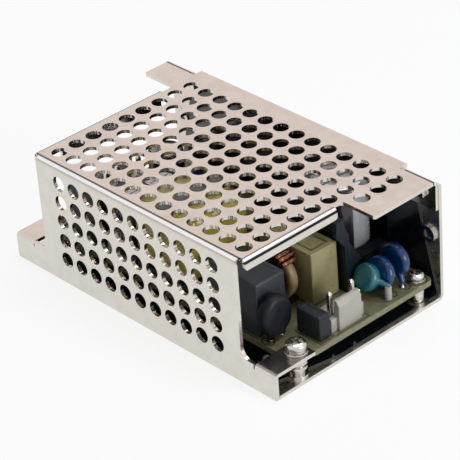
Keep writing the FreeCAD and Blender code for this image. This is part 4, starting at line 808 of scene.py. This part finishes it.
def makeBox(name, box):
    low, high, centre = boxOf(box["node"], box["grow"])
    size = reach(low, high)
    body = blockBetween(name, (low[0], low[1], low[2] + box["foot"]), high)
    growFaces(body, facesUp, boxShape["taper"], centre)
    bevelEdges(body, box["edge"], 4, 60)
    top, panel = high[2] - boxShape["within"], size[0] * size[1] * boxShape["panelShare"]

    def flatTop(face):
        return face.normal.z > boxShape["level"] and face.center.z > top * mm

    def wholeTop(face):
        return flatTop(face) and face.area > panel * mm * mm

    insetFaces(body, flatTop, box["rim"], 0)
    insetFaces(body, wholeTop, boxShape["wall"], -box["sunk"])
    if "step" in box:  # a second frame inside the first
        top = high[2] - box["sunk"] - boxShape["stepWall"]
        insetFaces(body, wholeTop, box["step"], 0)
        insetFaces(body, wholeTop, boxShape["stepWall"], box["sunk"] * boxShape["stepShare"])
    inward = boxShape["footIn"]
    foot = addBlock("foot", (boxShape["footWide"], size[1] * boxShape["footShare"],
                            box["foot"] + boxShape["footLap"]),
                    (low[0] + inward, centre[1], low[2] + (box["foot"] + boxShape["footLap"]) / 2))
    feet = rowOf(foot, (size[0] - 2 * inward, 0, 0), 2)
    finishPiece(smooth(join([body] + feet, name), 30), box["finish"], box["node"])


for name, box in boxes.items():
    makeBox(name, box)
print("boxes made")


# headers: base with wells round the posts and a ramped latch plate

headers = {
    "inputHeader": {"node": "input_header", "posts": "input_header_pins", "count": 2,
                    "plate": (47.9, 49.8, -5.9, 2.3), "base": (42.5, 48.9), "inside": 47.9},
    "outputHeader": {"node": "output_header", "posts": "output_header_pins", "count": 4,
                     "plate": (-48.2, -46.3, -4.6, 8.24), "base": (-48.2, -39.7), "inside": -46.3},
}
headerShape = {"baseHeight": 3.9, "baseEdge": 0.132, "edge": 0.22, "ramp": 1.5, "well": 1.9,
               "wellDepth": 0.45, "rib": 0.7, "ribDepth": 0.5, "ribShort": 2.4}


def makeHeader(name, header):
    low, high, _ = boxOf(header["node"])
    ramp, wide, rib = headerShape["ramp"], headerShape["well"], headerShape["rib"]
    baseTop = low[2] + headerShape["baseHeight"]
    base = blockBetween(name, (header["base"][0], low[1], low[2]), (header["base"][1], high[1], baseTop))
    postLow, postHigh, _ = boxOf(header["posts"])
    count, half = header["count"], post["size"] / 2
    well = addBlock("well", (wide, wide, headerShape["wellDepth"] * 2),
                    (postLow[0] + half, postLow[1] + half, baseTop))
    for cutter in rowOf(well, (0, postPitch(postLow, postHigh, count), 0), count):
        cutAway(base, cutter)
    bevelEdges(base, headerShape["baseEdge"], 2, 40)
    x0, x1, y0, y1 = header["plate"]
    plate = blockBetween("plate", (x0, y0, low[2]), (x1, y1, high[2] - ramp))
    extrudeFaces(plate, facesUp, (0, 0, ramp))
    growFaces(plate, facesUp, (0.5, 1, 1), (header["inside"], 0, high[2]))
    bevelEdges(plate, headerShape["edge"], 3, 30)
    ribTop = high[2] - headerShape["ribShort"]
    first = addBlock("rib", (headerShape["ribDepth"] * 2, rib, ribTop - low[2]),
                     (header["inside"], y0 + rib, (low[2] + ribTop) / 2))
    ribs = rowOf(bevelEdges(first, 0.12, 2), (0, y1 - y0 - 2 * rib, 0), 2)
    finishPiece(smooth(join([base, plate] + ribs, name), 30), "whiteNylon", header["node"])


for name, header in headers.items():
    makeHeader(name, header)
print("headers made")


# bridge rectifier: bevelled body with a cut corner, flat legs

bridge = {"chamfer": 2.2, "rise": 0.9, "lead": (0.55, 0.9), "leads": 4, "edge": 0.3, "panel": 30}


def makeBridge():
    low, high, centre = boxOf("bridge_rectifier")
    bottom = board["top"] + bridge["rise"]
    body = blockBetween("bridgeBody", (low[0], low[1], bottom), high)

    def farTop(edge):
        ends = [body.data.vertices[v].co for v in edge.vertices]
        return all(end.y > (high[1] - 0.01) * mm and end.z > (high[2] - 0.01) * mm for end in ends)

    pick(body, "EDGE", farTop)
    bpy.ops.mesh.bevel(offset=bridge["chamfer"] * mm, segments=1, affect="EDGES")
    leaveEdit()
    bevelEdges(body, bridge["edge"], 3, 30)
    insetFaces(body, lambda face: face.normal.x > 0.99 and face.area > bridge["panel"] * mm * mm, 0.6, -0.12)
    finishPiece(smooth(body, 30), "darkMoulding", "bridge_rectifier")
    pitch, end = (high[1] - low[1]) / bridge["leads"], board["flatLeadEnd"]
    leg = addBlock("leg", (*bridge["lead"], bottom - end),
                   (centre[0], low[1] + pitch / 2, (bottom + end) / 2))
    legs = rowOf(bevelEdges(leg, 0.1, 1), (0, pitch, 0), bridge["leads"])
    finishPiece(join(legs, "bridgeLegs"), "tinPlate")


makeBridge()
print("bridge made")


# flat power devices: black body, drilled metal tab, three legs, screw and washer

devices = {"switchDevice": "switching_transistor", "outputDevice": "output_rectifier"}
deviceShape = {"tabHole": 1.8, "tabThick": 1.3, "tabHeight": 6, "holeDown": 3, "body": 9.2, "back": 0.5,
               "taper": 0.94, "panel": 40, "pitch": 2.54, "legBack": 2.66, "leg": (0.8, 0.48),
               "shoulder": (1.3, 0.48)}
deviceScrew = {"radius": 2.7, "washer": 3.1, "recessOut": 1.9, "recess": (1.35, 0.35, 0.9)}


def makeDevice(name, node):
    low, high, centre = boxOf(node)
    shape = deviceShape
    tabLow = high[2] - shape["tabHeight"]
    bodyLow = tabLow - shape["body"]
    body = blockBetween(name + "Body", (low[0] + 0.01, low[1] + shape["back"], bodyLow),
                        (high[0] - 0.01, high[1], tabLow))
    growFaces(body, lambda face: face.normal.y > 0.9, (shape["taper"], 1, shape["taper"]),
              (centre[0], 0, (bodyLow + tabLow) / 2))
    bevelEdges(body, 0.25, 2, 30)
    insetFaces(body, lambda face: face.normal.y > 0.99 and face.area > shape["panel"] * mm * mm, 0.5, -0.06)
    finishPiece(smooth(body, 30), "blackMoulding", node)
    plate = blockBetween(name + "Tab", (low[0], low[1] + 0.01, bodyLow + 1),
                         (high[0], low[1] + shape["tabThick"] + 0.01, high[2]))
    holeHeight = tabLow + shape["holeDown"]
    cutAway(plate, addTube("hole", shape["tabHole"], 6, (centre[0], low[1], holeHeight), 32, (90, 0, 0)))
    x, y, end = centre[0] - shape["pitch"], low[1] + shape["legBack"], board["flatLeadEnd"]
    leg = join([addBlock("leg", (*shape["leg"], bodyLow - end), (x, y, (bodyLow + end) / 2)),
                addBlock("leg", (*shape["shoulder"], 1.6), (x, y, bodyLow - 0.8))], "leg")
    legs = rowOf(leg, (shape["pitch"], 0, 0), 3)
    tab = join([bevelEdges(plate, 0.12, 2, 40)] + legs, name + "Tab")
    finishPiece(smooth(tab, 30), "tinPlate")
    front, washer, radius = low[1] + shape["tabThick"] + 0.02, deviceScrew["washer"], deviceScrew["radius"]
    head = turnedPiece(name + "Screw", (centre[0], front, holeHeight), [
        (washer - 0.08, 0), (washer, 0.08), (washer, 0.34), (washer - 0.08, 0.4), (radius, 0.4),
        (radius, 1.1), (radius * 0.9, 1.55), (radius * 0.6, 1.85)], 40, (-90, 0, 0))
    crossRecess(head, (centre[0], front + deviceScrew["recessOut"], holeHeight), *deviceScrew["recess"], 1)
    finishPiece(smooth(head, 35), "nickelPlate")


for name, node in devices.items():
    makeDevice(name, node)
print("power devices made")


# transformer: taped winding in a bobbin with a flange, rails and pins, tape round the core

transformer = {"layers": 3, "layerStep": 0.16, "flange": 0.9, "pinRadius": 0.35, "pinLength": 3.2,
               "pinHeight": 9.2, "pins": 5, "pinPitch": 3.8, "tapeEdge": 0.12, "tapeRound": 2.4,
               "flap": (3.4, 0.16), "flapShort": 2.2, "flapIn": 5.2, "flapOut": 0.06, "tapeIn": (0.3, 0.1),
               "grow": ((-1.4, -2.9, -2.7), (-0.3, 2.6, 3.1)), "base": (0.75, 3.35), "railIn": (0.2, 3.8),
               "railHeight": 1.2, "pinIn": 2, "coreGrow": ((-0.15, -0.12, 1.4), (0.15, 0.12, -1.0))}


def makeTape(low, high, centre):
    size, floor = reach(low, high), low[2] + transformer["flange"]
    layers = []
    for i in range(transformer["layers"]):
        dx, dy = [inward + transformer["layerStep"] * i for inward in transformer["tapeIn"]]
        top = high[2] - transformer["tapeEdge"] * (transformer["layers"] - 1 - i)
        layer = blockBetween("tapeLayer", (low[0] + dx, low[1] + dy, floor),
                             (high[0] - dx, high[1] - dy, top))
        layers.append(bevelEdges(layer, transformer["tapeRound"], 6, 60))
    flap = addBlock("flap", (*transformer["flap"], size[2] - transformer["flapShort"]),
                    (high[0] - transformer["flapIn"], low[1] + transformer["flapOut"], centre[2]))
    tape = join(layers + [bevelEdges(flap, 0.06, 2)], "transformerTape")
    finishPiece(smooth(tape, 30), "yellowTape", "transformer_winding")


def makeBobbin(low, high):
    flange = bevelEdges(blockBetween("flange", low, (*high[:2], low[2] + transformer["flange"])), 0.3, 2, 60)
    low, high, centre = boxOf("transformer_bobbin")
    foot, top = [low[2] + height for height in transformer["base"]]
    base = bevelEdges(blockBetween("base", (*low[:2], foot), (*high[:2], top)), 0.35, 2, 60)
    first, last = [low[0] + inward for inward in transformer["railIn"]]
    rail = blockBetween("rail", (first, *low[1:]), (last, high[1], low[2] + transformer["railHeight"]))
    across = (high[0] - low[0] - 2 * transformer["pinIn"], 0, 0)
    rails = rowOf(bevelEdges(rail, 0.2, 2, 60), across, 2)
    bobbin = join([flange, base] + rails, "transformerBobbin")
    finishPiece(smooth(bobbin, 30), "blackMoulding", "transformer_bobbin")
    count, pitch = transformer["pins"], transformer["pinPitch"]
    place = (low[0] + transformer["pinIn"], centre[1] - (count - 1) / 2 * pitch, transformer["pinHeight"])
    pin = bevelEdges(addTube("pin", transformer["pinRadius"], transformer["pinLength"], place, 12), 0.12, 2)
    pins = rowOf(join(rowOf(pin, (0, pitch, 0), count), "pins"), across, 2)
    finishPiece(smooth(join(pins, "transformerPins"), 30), "tinPlate")


def makeTransformer():
    low, high, centre = boxOf("transformer_winding", transformer["grow"])
    makeTape(low, high, centre)
    makeBobbin(low, high)
    low, high, _ = boxOf("transformer_core", transformer["coreGrow"])
    band = bevelEdges(blockBetween("coreBand", low, high), 0.25, 2, 60)
    finishPiece(smooth(band, 30), "yellowTape")


makeTransformer()
print("transformer made")


# small parts on the board

# places of the bands are shares of the body's length
axials = {
    "snubberBody": {"node": "snubber_resistor", "count": 1, "length": 11, "radius": 2.1, "rise": 0.6,
                    "bandRadius": 1.82, "brown": (0.36, 0.62), "black": (0.46,)},
    "smallResistors": {"node": "output_resistors", "count": 4, "length": 6.3, "radius": 1.15, "rise": 0.3,
                       "bandRadius": 1.0, "brown": (0.34, 0.58), "black": (0.46,)},
}
axialShape = {"leadRadius": 0.3, "leadIn": 0.3, "lift": 0.8, "lean": 0.6, "inside": 0.4, "band": 0.55}
# shares of an axial body's radius and length, from one end to the other
axialProfile = ((0.35, 0), (0.82, 0.05), (1, 0.12), (1, 0.2), (0.86, 0.27), (0.86, 0.73), (1, 0.8),
                (1, 0.88), (0.82, 0.95), (0.35, 1))


def makeAxials(name, part):  # returns the place of the first body's end and the step to the next
    low, high, centre = boxOf(part["node"])
    length, radius, count = part["length"], part["radius"], part["count"]
    step = (0, (high[1] - low[1] - 2 * radius) / max(count - 1, 1), 0)
    x, y, z = centre[0] - length / 2, low[1] + radius, board["top"] + radius + part["rise"]
    if count == 1:
        y = centre[1]
    profile = [(radius * wide, length * along) for wide, along in axialProfile]
    bodies = rowOf(turnedPiece("body", (x, y, z), profile, 28, (0, 90, 0)), step, count)
    leads = []
    for end, way in ((low[0] + axialShape["leadIn"], 1), (high[0] - axialShape["leadIn"], -1)):
        points = [(end, y, board["roundLeadEnd"]), (end, y, z - axialShape["lift"]), (end, y, z),
                  (end + way * axialShape["lean"], y, z),
                  (centre[0] - way * length * axialShape["inside"], y, z)]
        leads += rowOf(leadWire("lead", points, axialShape["leadRadius"]), step, count)
    finishPiece(smooth(join(bodies, name), 40), "resistorLacquer", part["node"])
    finishPiece(join(leads, name + "Leads"), "tinPlate")
    return (x, y, z), step


def bands(name, part, first, step, i, colour):  # painted rings round body number i
    x, y, z = first
    places = [x + part["length"] * share for share in part[colour]]
    ring = addTube("band", part["bandRadius"] + 0.02, axialShape["band"], (places[0], y + step[1] * i, z),
                   32, (0, 90, 0))
    bevelEdges(ring, 0.04, 2)
    rings = [ring] + [copyOf(ring, (place - places[0], 0, 0)) for place in places[1:]]
    if colour == "brown":
        finishPiece(smooth(join(rings, name), 40), "bandBrown")
    else:
        finishPiece(smooth(join(rings, name), 40), "darkMoulding")


snubber, resistors = axials["snubberBody"], axials["smallResistors"]
first, step = makeAxials("snubberBody", snubber)
bands("snubberBrown", snubber, first, step, 0, "brown")
bands("snubberBlack", snubber, first, step, 0, "black")
first, step = makeAxials("smallResistors", resistors)
for i in range(resistors["count"]):
    bands("resistorBrown%d" % i, resistors, first, step, i, "brown")
    bands("resistorDark%d" % i, resistors, first, step, i, "black")


trimmer = {"well": 1.9, "wellHeight": 1.2, "dialDown": 0.6,
           "dial": ((1.7, 0), (1.8, 0.1), (1.8, 0.4), (1.65, 0.5)),
           "recessDown": 0.1, "recess": (1.25, 0.25, 0.25)}


def makeTrimmer():
    low, high, centre = boxOf("voltage_trimmer")
    body = bevelEdges(blockBetween("trimmerBody", low, high), 0.25, 2)
    cutAway(body, addTube("well", trimmer["well"], trimmer["wellHeight"], (*centre[:2], high[2]), 40))
    finishPiece(smooth(body, 30), "trimmerBlue", "voltage_trimmer")
    dial = turnedPiece("trimmerDial", (*centre[:2], high[2] - trimmer["dialDown"]), trimmer["dial"])
    crossRecess(dial, (*centre[:2], high[2] - trimmer["recessDown"]), *trimmer["recess"], 2)
    finishPiece(smooth(dial, 30), "whiteNylon")


def makeLamp():
    low, _, centre = boxOf("indicator_lamp")
    lens = turnedPiece("lampLens", (*centre[:2], low[2]), [
        (1.5, 0), (1.5, 0.08), (1.5, 0.55), (1.35, 0.62), (1.35, 2.9), (1.29, 3.3), (1.11, 3.75),
        (0.81, 4.12), (0.42, 4.33), (0.12, 4.39)], 36)
    finishPiece(smooth(lens, 40), "lampGreen", "indicator_lamp")


drum = {"profile": ((5.3, 0), (5.6, 0.25), (5.6, 1.6), (5.4, 1.8), (3.4, 1.8), (3.4, 10.2), (5.4, 10.2),
                    (5.6, 10.4), (5.6, 11.75), (5.3, 12)),
        "turns": 10, "pitch": 0.835, "first": 2.25, "radius": 4.55, "wire": 0.42}


def makeInductor():
    low, _, centre = boxOf("output_inductor")
    core = turnedPiece("inductorDrum", (*centre[:2], low[2]), drum["profile"], 56)
    finishPiece(smooth(core, 30), "ferrite", "output_inductor")
    deselectAll()
    bpy.ops.mesh.primitive_torus_add(major_radius=drum["radius"] * mm, minor_radius=drum["wire"] * mm,
                                     major_segments=48, minor_segments=10,
                                     location=metres((*centre[:2], low[2] + drum["first"])))
    turns = rowOf(settle(bpy.context.object, "turn"), (0, 0, drum["pitch"]), drum["turns"])
    finishPiece(smooth(join(turns, "inductorTurns"), 60), "copperWire")


chips = {  # out: the direction in which the legs stand off
    "coupler": {"node": "optocoupler", "out": 0, "count": 2, "pitch": 2.54, "leg": (0.6, 0.55)},
    "chip": {"node": "control_chip", "out": 1, "count": 4, "pitch": 1.27, "leg": (0.42, 0.6)},
}
chipShape = {"legRoom": 0.5, "legIn": 0.3, "dotIn": 1.1, "dotRadius": 0.35, "bodyRise": 0.2,
             "legShare": 0.5, "legLap": 0.02}


def makeChip(name, chip):
    low, high, centre = boxOf(chip["node"])
    out, along, size = chip["out"], 1 - chip["out"], reach(low, high)
    bodyLow, bodyHigh = [low[0], low[1], low[2] + chipShape["bodyRise"]], list(high)
    bodyLow[out] += chipShape["legRoom"]
    bodyHigh[out] -= chipShape["legRoom"]
    body = bevelEdges(blockBetween(name + "Body", bodyLow, bodyHigh), 0.18, 2)
    cutAway(body, addTube("dot", chipShape["dotRadius"], 0.1, (
        low[0] + chipShape["dotIn"], low[1] + chipShape["dotIn"], high[2]), 20))
    finishPiece(smooth(body, 30), "blackMoulding", chip["node"])
    at, across, onward = [*centre[:2], low[2] + size[2] * chipShape["legShare"] / 2], [0, 0, 0], [0, 0, 0]
    at[out] -= size[out] / 2 - chipShape["legIn"]
    at[along] -= (chip["count"] - 1) / 2 * chip["pitch"]
    across[out], onward[along] = size[out] - 2 * chipShape["legIn"], chip["pitch"]
    leg = bevelEdges(addBlock("leg", (*chip["leg"], size[2] * chipShape["legShare"] + chipShape["legLap"]),
                              at), 0.06, 1)
    legs = rowOf(join(rowOf(leg, onward, chip["count"]), "legs"), across, 2)
    finishPiece(join(legs, name + "Legs"), "tinPlate")


makeTrimmer()
makeLamp()
makeInductor()
for name, chip in chips.items():
    makeChip(name, chip)
print("small parts made")


# board: solder round the leads and printed outlines

pads = {"height": 0.035, "wide": 0.95, "solder": 0.55}
postLeads = [(46.6, -6.06), (46.6, 1.86), (-43.13, -4.12), (-43.13, -0.16), (-43.13, 3.8), (-43.13, 7.76)]
leads = [(x, y) for disc in discs.values() for x, y, _ in disc["legs"]] + postLeads + [
    tuple(start + sign * apart for start, sign, apart in zip(chokeLeads["from"], signs, chokeLeads["apart"]))
    for signs in chokeLeads["places"]]


def makeSolder():
    x0, y0 = leads[0]
    wide = pads["wide"]
    joint = join([
        turnedPiece("pad", (x0, y0, board["top"]), [
            (wide, 0), (wide, pads["height"]), (0.6, 0.12), (0.42, pads["solder"])], 20),
        turnedPiece("cone", (x0, y0, board["bottom"]), [
            (wide * 1.1, 0), (wide, -0.12), (0.75, -0.35), (0.55, -0.85), (0.45, -1.1)], 20)], "joint")
    joints = [joint] + [copyOf(joint, (x - x0, y - y0, 0)) for x, y in leads[1:]]
    finishPiece(smooth(join(joints, "boardSolder"), 50), "solder")


prints = {"wide": 0.40, "height": 0.02, "frame": 0.28, "margin": 0.35, "boardEnd": 50.9}
printRings = (  # place, radius across and along, turn
    (44.6, 11.7, 5.4, 2.3, 12), (44.2, 15.3, 5.2, 2.1, 0), (44.3, 20.4, 5.3, 2.2, -4),
    (39.3, -21.5, 1.9, 1.3, 0), (25.6, 18.8, 8.7, 8.7, 0), (48.0, 24.5, 2.9, 2.9, 0),
    (-47.2, 24.5, 2.9, 2.9, 0), (-28.8, -7.1, 6.1, 6.1, 0), (-46.2, 18.4, 1.9, 1.9, 0),
    (-17.8, -16.8, 5.4, 5.4, 0), (-17.8, -5.7, 5.4, 5.4, 0), (-28.4, 5.9, 5.4, 5.4, 0))
printFrames = ("line_fuse", "grey_filter_capacitor", "yellow_filter_capacitor", "bridge_rectifier",
               "input_header", "output_header", "voltage_trimmer", "feedback_capacitor", "optocoupler",
               "control_chip")


def printRing(x, y, radiusX, radiusY, turn):
    deselectAll()
    bpy.ops.mesh.primitive_torus_add(major_radius=radiusX * mm, minor_radius=prints["wide"] / 2 * mm,
                                     major_segments=56, minor_segments=6)
    ring = bpy.context.object
    ring.scale = (1, radiusY / radiusX, 2 * prints["height"] / prints["wide"])
    ring.rotation_euler = radians((0, 0, turn))
    ring.location = metres((x, y, board["top"]))
    return settle(ring, "ring")


def printFrame(node):
    margin, wide, tall = prints["margin"], prints["frame"], prints["height"]
    low, high, _ = boxOf(node, ([-margin] * 3, [margin] * 3))
    high[0] = min(high[0], prints["boardEnd"])
    (x, y, _), size, z = middle(low, high), reach(low, high), board["top"] + tall / 2
    sides = [addBlock("side", (size[0], wide, tall), (x, edge, z)) for edge in (low[1], high[1])]
    return sides + [addBlock("side", (wide, size[1], tall), (edge, y, z)) for edge in (low[0], high[0])]


def makePrints():
    marks = [printRing(*ring) for ring in printRings]
    for node in printFrames:
        marks += printFrame(node)
    finishPiece(join(marks, "boardPrint"), "printInk")


makeSolder()
makePrints()
print("board detailed")


# flush screws that hold the cover's far tabs, and the blind ends of the far wall's inserts

tabScrew = {"in": 2.55, "profile": ((1.1, 3.15), (1.3, 2.9), (1.3, 1.0), (2.5, 0.95), (2.55, 0.15),
                                    (2.45, 0.02))}
insertEnd = {"in": 2.4, "deep": 0.5, "profile": ((1.0, -0.18), (1.2, -0.1), (1.2, 0.1), (1.0, 0.18))}


def makeTabScrews():
    low, high, centre = boxOf("tab_screws")
    at = (low[0] + tabScrew["in"], high[1], centre[2])
    head = crossRecess(turnedPiece("tabScrew", at, tabScrew["profile"], 40, (90, 0, 0)), at, 1.3, 0.32, 0.7,
                       1)
    heads = rowOf(head, (high[0] - low[0] - 2 * tabScrew["in"], 0, 0), 2)
    finishPiece(smooth(join(heads, "tabScrewPair"), 35), "nickelPlate", "tab_screws")


def makeInsertEnds():
    low, high, centre = boxOf("side_inserts")
    at = (low[0] + insertEnd["in"], low[1] + insertEnd["deep"], centre[2])
    end = turnedPiece("insertEnd", at, insertEnd["profile"], 24, (90, 0, 0))
    ends = rowOf(end, (high[0] - low[0] - 2 * insertEnd["in"], 0, 0), 2)
    finishPiece(smooth(join(ends, "insertEnds"), 35), "insertSteel")


makeTabScrews()
makeInsertEnds()
print("tab screws made")


# stage: pale floor, soft light, the photograph's camera

stage = {"floorSize": 3.0, "floorColour": (0.93, 0.93, 0.93), "floorRough": (0.85, 0.95), "floorGrain": 3.0,
         "floorDrop": 0.05, "floorGlow": 0.84, "worldLight": 0.15, "white": (1, 1, 1, 1), "aim": (0, 0, 15)}
lamps = {"keyLamp": {"power": 6.4, "size": 0.7, "place": (0.06, 0.22, 0.95)},
         "fillLamp": {"power": 4.4, "size": 0.45, "place": (0.95, 0.16, 0.26)}}
camera = {"place": (0.40917, -0.35115, 0.35068), "turn": (58.0, 3.764, 46.805), "lens": 184.4, "sensor": 36,
          "nearest": 0.01}


def seenStraight(tree):  # one where the camera, a reflection or glass looks straight at it
    path = addNode(tree, "LightPath", {}).outputs
    either = mathNode(tree, "MAXIMUM", path["Is Camera Ray"], path["Is Glossy Ray"])
    return mathNode(tree, "MAXIMUM", either, path["Is Transmission Ray"])


def makeFloor():
    deselectAll()
    bpy.ops.mesh.primitive_plane_add(size=stage["floorSize"], location=(0, 0, -stage["floorDrop"] * mm))
    floor = bpy.context.object
    floor.name = "floor"
    material, tree, shader = startMaterial("floorPaper", stage["floorColour"], 0.9)
    varyRough(tree, shader, grain(tree, stage["floorGrain"]), stage["floorRough"])
    share = mathNode(tree, "MULTIPLY", seenStraight(tree), stage["floorGlow"])
    white = addNode(tree, "Emission", {})
    mix = addNode(tree, "MixShader", {"Fac": share, 1: shader.outputs[0], 2: white.outputs[0]})
    feed(tree, tree.nodes["Material Output"], {"Surface": mix.outputs[0]})
    floor.data.materials.append(material)


def makeWorld():
    world = bpy.data.worlds.new("studio")
    bpy.context.scene.world = world
    world.use_nodes = True
    tree = world.node_tree
    back = feed(tree, tree.nodes["Background"], {"Color": stage["white"], "Strength": stage["worldLight"]})
    seen = addNode(tree, "Background", {"Color": stage["white"]})
    mix = addNode(tree, "MixShader", {"Fac": seenStraight(tree), 1: back.outputs[0], 2: seen.outputs[0]})
    feed(tree, tree.nodes["World Output"], {"Surface": mix.outputs[0]})


def makeLamps():
    for name, light in lamps.items():
        deselectAll()
        bpy.ops.object.light_add(type="AREA", location=light["place"])
        lamp = bpy.context.object
        lamp.name = name
        lamp.data.energy = light["power"]
        lamp.data.size = light["size"]
        aim = Vector(metres(stage["aim"])) - lamp.location
        lamp.rotation_euler = aim.to_track_quat("-Z", "Y").to_euler()


def makeCamera():
    deselectAll()
    bpy.ops.object.camera_add(location=camera["place"], rotation=radians(camera["turn"]))
    eye = bpy.context.object
    eye.data.lens = camera["lens"]
    eye.data.sensor_width = camera["sensor"]
    eye.data.clip_start = camera["nearest"]
    bpy.context.scene.camera = eye
    bpy.context.scene.view_settings.view_transform = "Standard"


makeFloor()
makeWorld()
makeLamps()
makeCamera()
print("stage and camera made")
